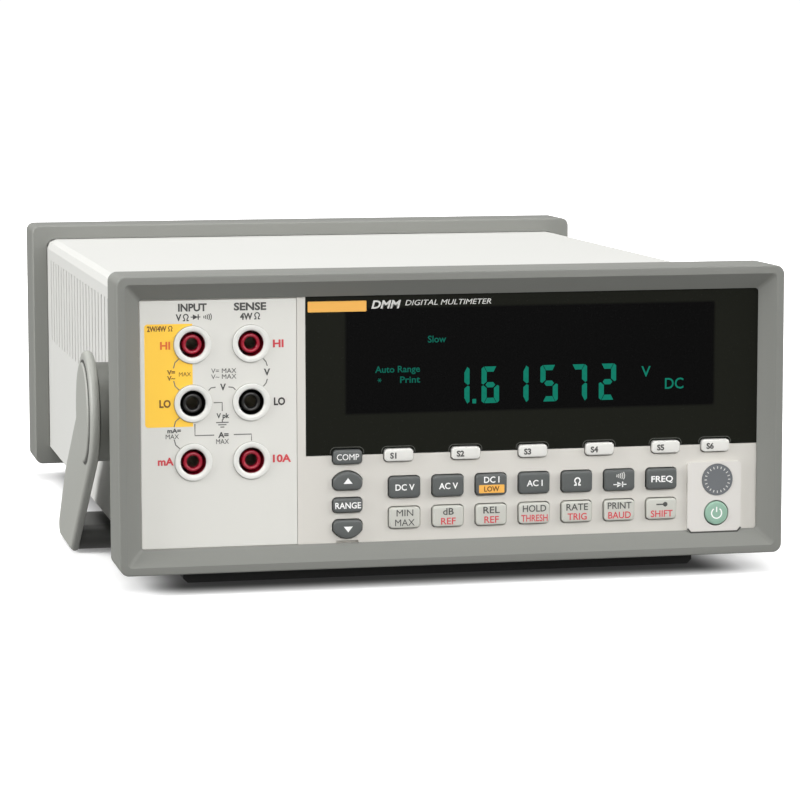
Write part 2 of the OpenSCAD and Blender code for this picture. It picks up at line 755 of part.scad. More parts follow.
// Hexagonal standoffs with their screws under the main board, and the display board's posts on the
// front panel
module board_standoffs() color("#c0a24a") place() {
    for (x = pcb_cols, y = pcb_rows) {
        translate([x, y, floor_z + floor_t]) cylinder(r = 3, h = pcb_z - floor_z - floor_t, $fn = 6);
        cyl_z(x, y, board_screw_r, pcb_z, pcb_top);
        cyl_z(x, y, 2.8, pcb_top, pcb_top + 2);
    }
    for (x = post_x, z = post_z) difference() {
        union() {
            cyl_y(x, z, post_r, panel_back, board_front);
            cyl_y(x, z, post_pin_r, panel_back - post_pin, panel_back + 0.1);
        }
        cyl_y(x, z, post_screw_r + 0.1, panel_back, board_front + 1);
    }
}

// ---------- nodes ----------

case_sleeve();
chassis_tray();
front_bumper();
rear_bumper();
front_panel();
jack_panel();
display_lens();
vfd_tube();
display_board();
dome_mat();
power_plate();
calibration_seal();
jack_rings();
jack_input_hi();
jack_input_lo();
jack_sense_hi();
jack_sense_lo();
jack_ma();
jack_10a();
jack_contacts();
pivot_bosses();
carry_handle();
front_foot();
rear_feet();
rear_panel();
mains_inlet();
fuse_drawer();
mains_fuse();
serial_port();
ground_screw();
main_board();
transformer();
current_fuses();
board_standoffs();
panel_screws();
key_comp();
key_up();
key_range();
key_down();
soft_key(0);  // softkey_1
soft_key(1);  // softkey_2
soft_key(2);  // softkey_3
soft_key(3);  // softkey_4
soft_key(4);  // softkey_5
soft_key(5);  // softkey_6
dark_key(0);  // key_dc_volts
dark_key(1);  // key_ac_volts
dark_key(2);  // key_dc_amps
dark_key(3);  // key_ac_amps
dark_key(4);  // key_ohms
dark_key(5);  // key_continuity
dark_key(6);  // key_frequency
light_key(0);  // key_min_max
light_key(1);  // key_decibel
light_key(2);  // key_relative
light_key(3);  // key_hold
light_key(4);  // key_rate
light_key(5);  // key_print
light_key(6);  // key_shift
power_button();
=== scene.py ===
"""A half-rack bench multimeter: the visible pieces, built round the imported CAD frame.

Everything is in metres in the row's frame: the front faces -Y, +X is to the right seen
from the front, and +Z is up from the surface that the feet stand on.
"""

import json
import math

import bmesh
import bpy
from mathutils import Matrix, Vector


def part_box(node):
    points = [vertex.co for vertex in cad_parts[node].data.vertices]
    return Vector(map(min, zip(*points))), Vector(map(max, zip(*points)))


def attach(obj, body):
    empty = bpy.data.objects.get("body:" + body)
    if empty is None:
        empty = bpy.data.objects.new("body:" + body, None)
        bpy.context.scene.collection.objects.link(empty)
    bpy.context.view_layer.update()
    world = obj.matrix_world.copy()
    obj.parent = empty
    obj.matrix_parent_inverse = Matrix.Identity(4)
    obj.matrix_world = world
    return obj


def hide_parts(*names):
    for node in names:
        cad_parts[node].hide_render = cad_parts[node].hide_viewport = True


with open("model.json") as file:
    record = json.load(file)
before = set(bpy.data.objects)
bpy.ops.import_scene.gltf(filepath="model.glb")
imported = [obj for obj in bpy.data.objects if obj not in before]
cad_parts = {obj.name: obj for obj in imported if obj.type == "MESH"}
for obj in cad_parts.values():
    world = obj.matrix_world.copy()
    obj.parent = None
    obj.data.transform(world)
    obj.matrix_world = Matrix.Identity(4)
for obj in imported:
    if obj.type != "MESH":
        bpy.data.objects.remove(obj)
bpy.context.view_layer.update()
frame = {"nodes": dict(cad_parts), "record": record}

MM = 0.001
SCENE = bpy.context.scene

# ---------------------------------------------------------------- places, from the frame

bumper_lo, bumper_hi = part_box("front_bumper")
sleeve_lo, sleeve_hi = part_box("case_sleeve")
insert_lo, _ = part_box("jack_panel")
lens_lo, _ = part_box("display_lens")

FRONT = bumper_lo.y
PANEL_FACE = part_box("front_panel")[0].y
PANEL_BACK = insert_lo.y + 4 * MM
RECESS = PANEL_FACE - FRONT
MID_Z = (bumper_lo.z + bumper_hi.z) / 2
INK = 0.03 * MM
# Height of a capital in the built-in font, as a share of its size
CAPITAL = 0.682
BIG_PRINT = 2.4 * MM


def middle(node):
    """Centre of a CAD node's box at rest."""
    low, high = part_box(node)
    return (low + high) / 2


# ---------------------------------------------------------------- materials

def fill(node, inputs):
    """Sets a shader node's inputs by name."""
    for name, value in inputs.items():
        node.inputs[name].default_value = value


def add_node(tree, kind, inputs=None, **values):
    """A shader node, with its inputs and its plain attributes set by name."""
    made = tree.nodes.new(kind)
    for key, value in values.items():
        setattr(made, key, value)
    fill(made, inputs or {})
    return made


def new_material(name):
    """A node material, its tree, its shader, and the object coordinates in its tree."""
    made = bpy.data.materials.new(name)
    made.use_nodes = True
    tree = made.node_tree
    return made, tree, tree.nodes["Principled BSDF"], add_node(tree, "ShaderNodeTexCoord").outputs["Object"]


def noise(tree, coords, scale, detail):
    """A noise texture read at object coordinates."""
    made = add_node(tree, "ShaderNodeTexNoise", {"Scale": scale, "Detail": detail, "Roughness": 0.55})
    tree.links.new(coords, made.inputs["Vector"])
    return made.outputs["Fac"]


def ramp(tree, source, low, high, start=0.0, end=1.0, kind="LINEAR"):
    """Spreads a value that runs from start to end over low to high."""
    spans = {"From Min": start, "From Max": end, "To Min": low, "To Max": high}
    made = add_node(tree, "ShaderNodeMapRange", spans, interpolation_type=kind)
    tree.links.new(source, made.inputs["Value"])
    return made.outputs["Result"]


def multiply(tree, one, two):
    """The product of two values."""
    made = add_node(tree, "ShaderNodeMath", operation="MULTIPLY")
    tree.links.new(one, made.inputs[0])
    tree.links.new(two, made.inputs[1])
    return made.outputs["Value"]


def mix_colours(tree, factor, low, high, blend="MIX"):
    """Goes from one colour to another by a factor. low may also be a socket."""
    made = add_node(tree, "ShaderNodeMix", data_type="RGBA", blend_type=blend)
    tree.links.new(factor, made.inputs["Factor"])
    if isinstance(low, bpy.types.NodeSocket):
        tree.links.new(low, made.inputs["A"])
    else:
        made.inputs["A"].default_value = (*low, 1)
    made.inputs["B"].default_value = (*high, 1)
    return made.outputs["Result"]


def lighter(colour, times, plus=0.0):
    """A colour scaled, and kept within white."""
    return [min(1.0, c * times + plus) for c in colour]


def add_grain(tree, shader, source, strength, depth):
    """Fine bumps on a surface, depth in millimetres."""
    bumps = add_node(tree, "ShaderNodeBump", {"Strength": strength, "Distance": depth * MM})
    tree.links.new(source, bumps.inputs["Height"])
    tree.links.new(bumps.outputs["Normal"], shader.inputs["Normal"])


def surface(name, colour, rough, grain, bump, vary, depth=0.03, metal=0.0, coat=0.0, cloud=18.0, edge=0.0):
    """A moulded, painted or metal surface.

    colour varies gently over a few centimetres, roughness over the grain, and the grain itself is a fine
    bump. edge paints a highlight on sharp edges, found through the Geometry pointiness.
    """
    made, tree, shader, coords = new_material(name)
    clouds = noise(tree, coords, cloud, 4.0)
    fine = noise(tree, coords, grain, 2.0)
    tint = mix_colours(tree, clouds, lighter(colour, 1 - vary), lighter(colour, 1 + vary))
    if edge:
        # Painted highlight: sharp edges, found by pointiness, take a lighter colour
        point = add_node(tree, "ShaderNodeNewGeometry").outputs["Pointiness"]
        edge_highlight = ramp(tree, point, 0.0, edge, 0.52, 0.62)
        tint = mix_colours(tree, edge_highlight, tint, lighter(colour, 1.5, 0.05))
    tree.links.new(tint, shader.inputs["Base Color"])
    tree.links.new(ramp(tree, fine, rough - 0.06, rough + 0.06), shader.inputs["Roughness"])
    add_grain(tree, shader, fine, bump, depth)
    fill(shader, {"Metallic": metal, "Coat Weight": coat})
    return made


def rgb(red, green, blue):
    """Linear colour from 0 to 255 display values."""
    def linear(value):
        share = value / 255
        return share / 12.92 if share <= 0.04045 else ((share + 0.055) / 1.055) ** 2.4
    return (linear(red), linear(green), linear(blue))


def glow(name, colour, strength):
    """A lit phosphor segment, a little uneven as the coating is."""
    made, tree, shader, coords = new_material(name)
    uneven = noise(tree, coords, 900.0, 2.0)
    tint = mix_colours(tree, uneven, lighter(colour, 0.82), lighter(colour, 1.18))
    tree.links.new(tint, shader.inputs["Emission Color"])
    fill(shader, {"Base Color": (0, 0.002, 0.002, 1), "Specular IOR Level": 0, "Emission Strength": strength})
    return made


def window_mask(tree, coords, low, high, soft, axes="XZ"):
    """1 inside the box from low to high along two axes, falling to 0 over soft at its edges."""
    split = add_node(tree, "ShaderNodeSeparateXYZ")
    tree.links.new(coords, split.inputs["Vector"])
    result = None
    for axis in axes:
        near_edge = getattr(low, axis.lower())
        far_edge = getattr(high, axis.lower())
        for start, end in ((near_edge - soft, near_edge + soft), (far_edge + soft, far_edge - soft)):
            step = ramp(tree, split.outputs[axis], 0.0, 1.0, start, end, "SMOOTHSTEP")
            result = step if result is None else multiply(tree, result, step)
    return result


def paint_shade_inside(made, low, high, share):
    """Paints shade into a finish inside a box in x and z: painted shade for grooves, which look dark in their
    own shade.
    """
    tree = made.node_tree
    base = tree.nodes["Principled BSDF"].inputs["Base Color"]
    coords = add_node(tree, "ShaderNodeTexCoord").outputs["Object"]
    mask = window_mask(tree, coords, low, high, 0.15 * MM)
    shaded_colour = mix_colours(tree, mask, base.links[0].from_socket, (share, share, share), "MULTIPLY")
    tree.links.new(shaded_colour, base)


def lens_surface(name, low, high):
    """Tinted display lens: near-black border, blacker where the tube shows through."""
    made, tree, shader, coords = new_material(name)
    mask = window_mask(tree, coords, low, high, 0.6 * MM)
    tint = mix_colours(tree, mask, rgb(26, 27, 22), rgb(7, 7, 7))
    tree.links.new(tint, shader.inputs["Base Color"])
    haze = noise(tree, coords, 1500.0, 2.0)
    tree.links.new(ramp(tree, haze, 0.22, 0.30), shader.inputs["Roughness"])
    add_grain(tree, shader, haze, 0.05, 0.01)
    fill(shader, {"Specular IOR Level": 0.08})
    return made


def laminated(name, colour):
    """Stacked transformer laminations: fine bands through the core's depth."""
    made, tree, shader, coords = new_material(name)
    bands = add_node(tree, "ShaderNodeTexWave", {"Scale": 650.0, "Distortion": 0.4}, bands_direction="Y")
    tree.links.new(coords, bands.inputs["Vector"])
    tint = mix_colours(tree, bands.outputs["Fac"], lighter(colour, 0.5), colour)
    tree.links.new(tint, shader.inputs["Base Color"])
    fill(shader, {"Metallic": 0.6, "Roughness": 0.5})
    return made


# Every moulded, painted or metal finish: colour, roughness, grain, bump, vary, and what else it sets
FINISHES = {
    "bumper_elastomer": ((118, 119, 114), 0.62, 2600, 0.35, 0.03, {"depth": 0.05, "edge": 0.25}),
    "case_paint": ((200, 200, 196), 0.52, 1500, 0.12, 0.012, {}),
    "panel_plastic": ((205, 202, 195), 0.48, 2400, 0.2, 0.015, {}),
    "insert_plastic": ((213, 212, 206), 0.4, 2400, 0.12, 0.012, {}),
    "plate_plastic": ((210, 207, 202), 0.4, 2400, 0.1, 0.01, {}),
    "ring_plastic": ((220, 220, 215), 0.25, 1200, 0.04, 0.01, {"coat": 0.3}),
    "socket_red": ((160, 16, 44), 0.28, 1500, 0.05, 0.05, {"coat": 0.3}),
    "socket_black": ((26, 26, 24), 0.3, 1500, 0.05, 0.05, {"coat": 0.3}),
    "contact_plating": ((190, 160, 96), 0.3, 2200, 0.1, 0.04, {"metal": 1.0}),
    "contact_nickel": ((150, 146, 132), 0.34, 2200, 0.1, 0.04, {"metal": 1.0}),
    "key_dark": ((84, 87, 86), 0.42, 2600, 0.2, 0.03, {"edge": 0.2}),
    "key_light": ((190, 190, 182), 0.42, 2600, 0.2, 0.02, {}),
    "key_soft": ((216, 215, 210), 0.38, 2600, 0.15, 0.01, {}),
    "key_green": ((140, 174, 155), 0.35, 2600, 0.12, 0.03, {}),
    "seal_grey": ((100, 103, 106), 0.5, 3000, 0.2, 0.03, {}),
    "handle_plastic": ((152, 153, 147), 0.5, 2400, 0.3, 0.02, {"depth": 0.05, "edge": 0.15}),
    # Painted shade: a near-black grey for what lies in shade, the crossbar under the case, the hub grooves
    # and the gap under the power plate
    "painted_shade_plastic": ((66, 66, 63), 0.5, 2400, 0.3, 0.02, {"depth": 0.05}),
    "boss_plastic": ((116, 117, 111), 0.52, 2400, 0.3, 0.03, {}),
    "foot_rubber": ((26, 26, 25), 0.75, 1600, 0.5, 0.08, {"depth": 0.08}),
    "rear_paint": ((222, 221, 215), 0.45, 1500, 0.15, 0.015, {}),
    "inlet_plastic": ((32, 32, 32), 0.38, 2200, 0.15, 0.05, {}),
    "nickel_shell": ((190, 190, 188), 0.28, 1400, 0.08, 0.04, {"metal": 1.0}),
    "screw_steel": ((170, 172, 172), 0.34, 2600, 0.15, 0.04, {"metal": 1.0}),
    "tray_zinc": ((176, 178, 176), 0.4, 160, 0.1, 0.12, {"metal": 1.0, "cloud": 90.0}),
    "board_green": ((34, 96, 52), 0.35, 900, 0.15, 0.12, {"cloud": 160.0}),
    "tube_glass": ((22, 26, 25), 0.12, 600, 0.02, 0.1, {"coat": 0.5}),
    "dome_silicone": ((196, 196, 190), 0.6, 1800, 0.2, 0.04, {}),
    "fuse_body": ((214, 208, 194), 0.4, 1500, 0.15, 0.04, {}),
    "print_yellow": ((252, 202, 66), 0.42, 2400, 0.08, 0.02, {}),
    "badge_orange": ((235, 175, 80), 0.4, 2400, 0.08, 0.03, {}),
}
# Inks by name: colour, and how much it varies
INKS = {
    "grey": ((72, 72, 70), 0.05), "dark": ((48, 44, 44), 0.05), "line": ((106, 106, 102), 0.05),
    # The grey for the lines on the lens is no ink: a painted highlight where the lens's key notches catch
    # light
    "faint": ((74, 75, 70), 0.05), "pale_grey": ((206, 206, 202), 0.02), "white": ((240, 240, 238), 0.02),
    "red": ((200, 62, 70), 0.05), "orange": ((222, 104, 44), 0.05), "brown": ((112, 72, 22), 0.05),
}


def make_materials():
    """Every finish on the object, by name."""
    made = {name: surface(name, rgb(*colour), rough, grain, bump, vary, **more)
            for name, (colour, rough, grain, bump, vary, more) in FINISHES.items()}
    for name, (colour, vary) in INKS.items():
        made["print_" + name] = surface("print_" + name, rgb(*colour), 0.55, 3000, 0.05, vary)
    made["transformer_core"] = laminated("transformer_core", rgb(112, 98, 82))
    made["display_lens"] = lens_surface("display_lens", Vector((-36.6, 0, 56.9)) * MM,
                                        Vector((88.9, 0, 91.6)) * MM)
    made["phosphor_teal"] = glow("phosphor_teal", rgb(24, 130, 108), 0.85)
    made["phosphor_dim"] = glow("phosphor_dim", rgb(22, 104, 88), 0.85)
    return made


M = make_materials()
# The grooves in the sleeve's sides lie a little inside its faces
GROOVE_X = sleeve_hi.x - 0.3 * MM
GROOVE_Z = (58.5 * MM, 90.5 * MM)
# Painted shade: the sleeve's paint is darkened to three quarters in its side grooves, where shade falls
paint_shade_inside(M["case_paint"], Vector((-GROOVE_X, 0, GROOVE_Z[0])), Vector((GROOVE_X, 0, GROOVE_Z[1])), 0.75)

# ---------------------------------------------------------------- mesh helpers


def add_object(name, mesh, finish, smooth=35.0):
    """Links a mesh as an object with one finish, smooth where faces meet below an angle."""
    made = bpy.data.objects.new(name, mesh)
    SCENE.collection.objects.link(made)
    mesh.materials.append(finish)
    mesh.shade_smooth()
    mesh.set_sharp_from_angle(angle=math.radians(smooth))
    return made


def from_bmesh(name, shape, finish, smooth=35.0):
    """Turns a bmesh into an object, with its normals facing out."""
    bmesh.ops.remove_doubles(shape, verts=shape.verts, dist=1e-7)
    bmesh.ops.recalc_face_normals(shape, faces=shape.faces)
    mesh = bpy.data.meshes.new(name)
    shape.to_mesh(mesh)
    shape.free()
    return add_object(name, mesh, finish, smooth)


def rounded_ring(half_w, half_h, radius, steps=8):
    """Points (x, z) round a rectangle with round corners, anticlockwise from its right side."""
    radius = min(radius, half_w, half_h)
    points = []
    for index, (sx, sz) in enumerate(((1, 1), (-1, 1), (-1, -1), (1, -1))):
        for step in range(steps + 1):
            angle = math.radians(90 * index + 90 * step / steps)
            points.append((sx * (half_w - radius) + radius * math.cos(angle),
                           sz * (half_h - radius) + radius * math.sin(angle)))
    return points


def circle_ring(radius, steps=48):
    """Points (x, z) round a circle."""
    return [(radius * math.cos(math.tau * i / steps), radius * math.sin(math.tau * i / steps))
            for i in range(steps)]


def loft(name, finish, rings, centre, closed=False, smooth=35.0):
    """Skins rings of (points, y) about an (x, z) centre. closed joins the last to the first."""
    shape = bmesh.new()
    loops = [[shape.verts.new((centre[0] + x, y, centre[1] + z)) for x, z in points] for points, y in rings]
    count = len(loops[0])
    pairs = list(zip(loops, loops[1:]))
    if closed:
        pairs.append((loops[-1], loops[0]))
    for one, two in pairs:
        for i in range(count):
            j = (i + 1) % count
            shape.faces.new((one[i], one[j], two[j], two[i]))
    if not closed:
        shape.faces.new(loops[0])
        shape.faces.new(loops[-1])
    return from_bmesh(name, shape, finish, smooth)


def lathe(name, finish, profile, centre, steps=64, smooth=35.0):
    """Turns a closed profile of (radius, y) about an axis along Y through an (x, z) centre."""
    return loft(name, finish, [(circle_ring(radius, steps), y) for radius, y in profile], centre,
                closed=True, smooth=smooth)


def moved(points, x, z):
    """Points carried along by x and z."""
    return [(x + a, z + b) for a, b in points]


def arc(centre, radius, start, end, steps=6):
    """Points (a, b) along a circular arc, angles in degrees."""
    angles = [math.radians(start + (end - start) * i / steps) for i in range(steps + 1)]
    return [(centre[0] + radius * math.cos(a), centre[1] + radius * math.sin(a)) for a in angles]


def soften(piece, width):
    """Rounds a piece's sharp edges with a bevel modifier."""
    bevel = piece.modifiers.new("rounding", "BEVEL")
    bevel.width = width
    bevel.segments = 2
    bevel.limit_method = "ANGLE"
    bevel.angle_limit = math.radians(40)
    bevel.harden_normals = True
    bevel.miter_outer = "MITER_ARC"


def join(name, parts):
    """Joins several mesh objects of this script into one."""
    shape = bmesh.new()
    finishes = []
    for part in parts:
        for finish in part.data.materials:
            if finish not in finishes:
                finishes.append(finish)
    for part in parts:
        offset = len(shape.faces)
        shape.from_mesh(part.data)
        shape.faces.ensure_lookup_table()
        indices = [finishes.index(finish) for finish in part.data.materials]
        for face in shape.faces[offset:]:
            face.material_index = indices[face.material_index]
    mesh = bpy.data.meshes.new(name)
    shape.to_mesh(mesh)
    shape.free()
    for part in parts:
        old = part.data
        bpy.data.objects.remove(part)
        bpy.data.meshes.remove(old)
    made = bpy.data.objects.new(name, mesh)
    SCENE.collection.objects.link(made)
    for finish in finishes:
        mesh.materials.append(finish)
    return made


def skin(shape, one, two):
    """Adds the caps and sides of a prism between two like loops of points."""
    shape.faces.new(one)
    shape.faces.new(two)
    for i in range(len(one)):
        j = (i + 1) % len(one)
        shape.faces.new((one[i], one[j], two[j], two[i]))


def flat_shape(name, finish, outlines, y, thick=INK):
    """Thin printed shapes facing the front, from (x, z) outlines, their faces at y."""
    shape = bmesh.new()
    for outline in outlines:
        loops = [[shape.verts.new((x, depth, z)) for x, z in outline] for depth in (y, y + thick)]
        skin(shape, *loops)
    return from_bmesh(name, shape, finish)


def stroke(points, width):
    """The outline of a line of some width along (x, z) points."""
    left = []
    right = []
    for i, point in enumerate(points):
        before = Vector(points[max(i - 1, 0)])
        after = Vector(points[min(i + 1, len(points) - 1)])
        side = (after - before).normalized() * (width / 2)
        left.append((point[0] - side.y, point[1] + side.x))
        right.append((point[0] + side.y, point[1] - side.x))
    return left + right[::-1]


def lettering(name, finish, text, x, z, y, cap, wide=None, bold=0.0, align="CENTER", slant=0.0):
    """Printed words facing the front: cap is the height of a capital, and wide their whole width."""
    curve = bpy.data.curves.new(name, "FONT")
    curve.body = text
    curve.size = cap / CAPITAL
    # Bold outlines would close up a small M
    curve.offset = 0 if "M" in text and cap < BIG_PRINT else bold
    curve.extrude = INK
    curve.shear = slant
    curve.resolution_u = 3
    maker = bpy.data.objects.new(name + "_curve", curve)
    SCENE.collection.objects.link(maker)
    bpy.context.view_layer.update()
    mesh = bpy.data.meshes.new_from_object(maker.evaluated_get(bpy.context.evaluated_depsgraph_get()))
    bpy.data.objects.remove(maker)
    bpy.data.curves.remove(curve)
    across = [vert.co.x for vert in mesh.vertices]
    left, right = min(across), max(across)
    squeeze = wide / (right - left) if wide else 1.0
    anchor = left if align == "LEFT" else (left + right) / 2
    flat = Matrix.Diagonal((squeeze, 1, 1, 1)) @ Matrix.Translation((-anchor, -cap / 2, 0))
    mesh.transform(Matrix.Translation((x, y, z)) @ Matrix.Rotation(math.radians(90), 4, "X") @ flat)
    mesh.materials.clear()
    mesh.name = name
    return add_object(name, mesh, finish)


def body_of_node(node):
    """The CAD body that a node belongs to."""
    bodies = frame["record"]["behaviour"]["bodies"]
    return next(body for body, members in bodies.items() if node in members)


def stand_for(piece, node):
    """The piece shows in place of a CAD node, riding on its body."""
    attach(piece, body_of_node(node))
    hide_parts(node)


def repaint(node, finish, rounding):
    """Gives a CAD node that keeps its shape a finish, and rounds its edges unless rounding is 0."""
    piece = frame["nodes"][node]
    piece.data.materials.clear()
    piece.data.materials.append(finish)
    if rounding:
        soften(piece, rounding)


# ---------------------------------------------------------------- bumpers

RIM = 2.7 * MM
LIP_Y = 4.4 * MM
OPENING = (103.9 * MM, 40.5 * MM)
SEAT = ((sleeve_hi.x - sleeve_lo.x) / 2 + 0.2 * MM, (sleeve_hi.z - sleeve_lo.z) / 2 + 0.2 * MM)


def bumper_rings(front, direction, depth):
    """Rings of one bumper, from its outer back edge round the rim to its inner back edge."""
    half_w = (bumper_hi.x - bumper_lo.x) / 2
    half_h = (bumper_hi.z - bumper_lo.z) / 2
    corner = 3 * MM
    edge = 0.5 * MM
    mouth = 1.3 * MM
    gap = 0.25 * MM
    seam = 0.02 * MM
    wider = (OPENING[0] + 1.5 * MM, OPENING[1] + 1.5 * MM)

    def outer(shrink, y):
        outline = rounded_ring(half_w - shrink, half_h - shrink, max(corner - shrink, mouth))
        return outline, front + direction * y

    def inner(size, radius, y):
        return rounded_ring(size[0], size[1], radius), front + direction * y

    rings = [outer(edge, depth), outer(0, depth - edge)]
    rings += [outer(shrink, y) for shrink, y in arc((edge, edge), edge, 180, 270, 6)]
    rings += [outer(RIM - 0.1 * MM, 0), outer(RIM, 0.07 * MM)]
    rings += [inner(OPENING, 1.2 * MM, LIP_Y), inner(OPENING, 1.2 * MM, RECESS - gap)]
    rings += [inner(wider, 2.0 * MM, RECESS - gap), inner(wider, 2.0 * MM, RECESS - seam)]
    return rings + [inner(SEAT, 3.7 * MM, RECESS - seam), inner(SEAT, 3.7 * MM, depth)]


def make_bumper(node, front, direction):
    """A soft bumper frame with a bevelled mouth."""
    rings = bumper_rings(front, direction, bumper_hi.y - bumper_lo.y)
    piece = loft(node + "_shell", M["bumper_elastomer"], rings, (0, MID_Z), closed=True, smooth=17)
    stand_for(piece, node)


# ---------------------------------------------------------------- terminals

SOCKETS = ("jack_input_hi", "jack_input_lo", "jack_sense_hi", "jack_sense_lo", "jack_ma", "jack_10a")
WELL_R = 4.3 * MM
TUBE_R = 3.2 * MM
BORE_R = 2.0 * MM
COLLAR_R = 6.1 * MM


def make_socket(node):
    """Shrouded 4 mm socket: a deep cup with a centre tube whose mouth is fully round."""
    colour = "black" if node.endswith("_lo") else "red"
    low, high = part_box(node)
    centre = (middle(node).x, middle(node).z)
    front = low.y
    cup = (high.x - low.x) / 2
    floor_y = front + 22 * MM
    mouth = front + 1.1 * MM
    wall = (TUBE_R - BORE_R) / 2
    rim = front + 0.05 * MM
    profile = [(cup, front + 0.3 * MM), (cup, high.y), (BORE_R, high.y)]
    profile += arc((BORE_R + wall, mouth + wall), wall, 180, 360, 12)
    profile += [(TUBE_R, floor_y), (WELL_R, floor_y), (WELL_R, front + 0.5 * MM)]
    profile += [(WELL_R + 0.25 * MM, rim), (cup - 0.2 * MM, rim)]
    piece = lathe(node + "_cup", M["socket_" + colour], profile, centre)
    stand_for(piece, node)
    return centre


def make_ring(index, centre):
    """White collar round a socket, dished towards the well."""
    face = insert_lo.y
    inner = 4.15 * MM
    proud = 0.8 * MM
    edge = 0.3 * MM
    dish = 0.9 * MM
    profile = [(COLLAR_R, face + 0.3 * MM), (COLLAR_R, face - proud + edge)]
    profile += arc((COLLAR_R - edge, face - proud + edge), edge, 0, -90, 4)
    profile += arc((inner + dish, face - proud + dish), dish, -90, -180, 6)
    profile += [(inner, face + 0.3 * MM)]
    return lathe("socket_collar_%d" % index, M["ring_plastic"], profile, centre)


def make_terminals():
    """All the sockets, with their collars."""
    centres = [make_socket(node) for node in SOCKETS]
    collars = join("socket_collars", [make_ring(i, c) for i, c in enumerate(centres)])
    stand_for(collars, "jack_rings")
    collars.data.set_sharp_from_angle(angle=math.radians(35))


# ---------------------------------------------------------------- keys

DARK_WORDS = {
    "key_dc_volts": ("DC V", 6.4), "key_ac_volts": ("AC V", 6.4), "key_ac_amps": ("AC I", 5.4),
    "key_frequency": ("FREQ", 7.5), "key_comp": ("COMP", 7.4), "key_range": ("RANGE", 8.6),
}
LIGHT_WORDS = {
    "key_min_max": (("MIN", 5.6), ("MAX", 6.6)), "key_decibel": (("dB", 3.6), ("REF", 4.9)),
    "key_relative": (("REL", 5.6), ("REF", 4.9)), "key_hold": (("HOLD", 8.0), ("THRESH", 9.0)),
    "key_rate": (("RATE", 7.4), ("TRIG", 6.6)), "key_print": (("PRINT", 8.2), ("BAUD", 7.8)),
    "key_shift": (("", 0), ("SHIFT", 7.6)),
}
ARROWS = {"key_up": 1, "key_down": -1}
FLANGE = 0.6 * MM
POWER_FLANGE = 1.0 * MM
KEY_CORNER = 1.2 * MM
ARCH_R = 5.6 * MM
ARCH_CORNER = 1.7 * MM
KEY_CAP = 1.95 * MM
KEY_BOLD = 0.05 * MM


def cap_size(node):
    """Half width, half height, centre and front of a key's cap, from its CAD box."""
    low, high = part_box(node)
    flange = POWER_FLANGE if node == "power_button" else FLANGE
    half_w = (high.x - low.x) / 2 - flange
    half_h = (high.z - low.z) / 2 - flange
    return half_w, half_h, (low.x + high.x) / 2, (low.z + high.z) / 2, low.y


def arched_ring(half_w, half_h, shrink, upward):
    """A half-moon outline, shrunk all round: a round dome over a flat side with round corners."""
    dome = ARCH_R - shrink
    wide = half_w - shrink
    base = -half_h + shrink
    corner = ARCH_CORNER - shrink * 0.5
    start = math.degrees(math.acos(wide / dome))
    points = arc((0, half_h - ARCH_R), dome, start, 180 - start, 24)
    points += arc((-wide + corner, base + corner), corner, 180, 270, 8)
    points += arc((wide - corner, base + corner), corner, 270, 360, 8)
    return points if upward > 0 else [(x, -z) for x, z in reversed(points)]


def cap_rings(outline, front, back):
    """Rings of a key cap: straight sides, a rounded edge and a slightly crowned face."""
    edge = 0.5 * MM
    rings = [(outline(0), back), (outline(0), front + edge)]
    for shrink, y in arc((edge, edge), edge, 180, 262, 5)[1:]:
        rings.append((outline(shrink), front + y))
    rings.append((outline(edge + 0.9 * MM), front + 0.001 * MM))
    return rings


def make_cap(node, slot, finish=None):
    """One key cap in place of its CAD node. Returns where its legend goes."""
    half_w, half_h, x, z, front = cap_size(node)
    if node in ARROWS:
        def outline(shrink):
            return arched_ring(half_w, half_h, shrink, ARROWS[node])
    elif node == "power_button":
        def outline(shrink):
            return circle_ring(half_w - shrink)
    else:
        def outline(shrink):
            return rounded_ring(half_w - shrink, half_h - shrink, KEY_CORNER - shrink * 0.3)
    piece = loft(node + "_cap", M[finish or slot], cap_rings(outline, front, PANEL_BACK), (x, z), smooth=40)
    stand_for(piece, node)
    return x, z, front


def legend(node, piece):
    """A printed legend rides with its key."""
    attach(piece, body_of_node(node))


def make_dark_keys():
    """Dark function keys with white legends."""
    for node, (words, wide) in DARK_WORDS.items():
        x, z, front = make_cap(node, "key_dark")
        text = lettering(node + "_legend", M["print_white"], words, x, z, front - INK / 2, KEY_CAP,
                         wide=wide * MM, bold=KEY_BOLD)
        legend(node, text)
    for node, way in ARROWS.items():
        x, z, front = make_cap(node, "key_dark")
        half = 1.5 * MM
        tall = 0.95 * MM
        outline = [(x - half, z - way * tall), (x + half, z - way * tall), (x, z + way * tall)]
        arrow = flat_shape(node + "_legend", M["print_white"], [outline[::way]], front - INK)
        legend(node, arrow)


def make_current_key():
    """Direct current key, with an orange second legend below the first."""
    node = "key_dc_amps"
    x, z, front = make_cap(node, "key_dark")
    words = lettering(node + "_legend", M["print_white"], "DC I", x, z + 1.6 * MM, front - INK / 2, KEY_CAP,
                      wide=5.2 * MM, bold=KEY_BOLD)
    low_z = z - 1.45 * MM
    band = moved(rounded_ring(4.3 * MM, 1.35 * MM, 0.3 * MM, 3), x, low_z)
    patch = flat_shape(node + "_band", M["badge_orange"], [band], front - INK)
    small = lettering(node + "_second", M["print_brown"], "LOW", x, low_z, front - 1.2 * INK, 1.6 * MM,
                      wide=5.2 * MM, bold=0.06 * MM)
    legend(node, join(node + "_print", [words, patch, small]))


def omega(x, z, size):
    """Outlines of an ohm sign centred at x, z and about as tall as size."""
    width = 0.18 * size
    ring = arc((x, z + 0.14 * size), 0.36 * size, -58, 238, 22)
    base = z - 0.45 * size
    shapes = [stroke(ring, width)]
    for side, end in ((1, ring[0]), (-1, ring[-1])):
        shapes.append(stroke([(end[0], base + width / 2), end], width))
        shapes.append(stroke([(end[0] - side * width / 2, base), (x + side * 0.46 * size, base)], width))
    return shapes


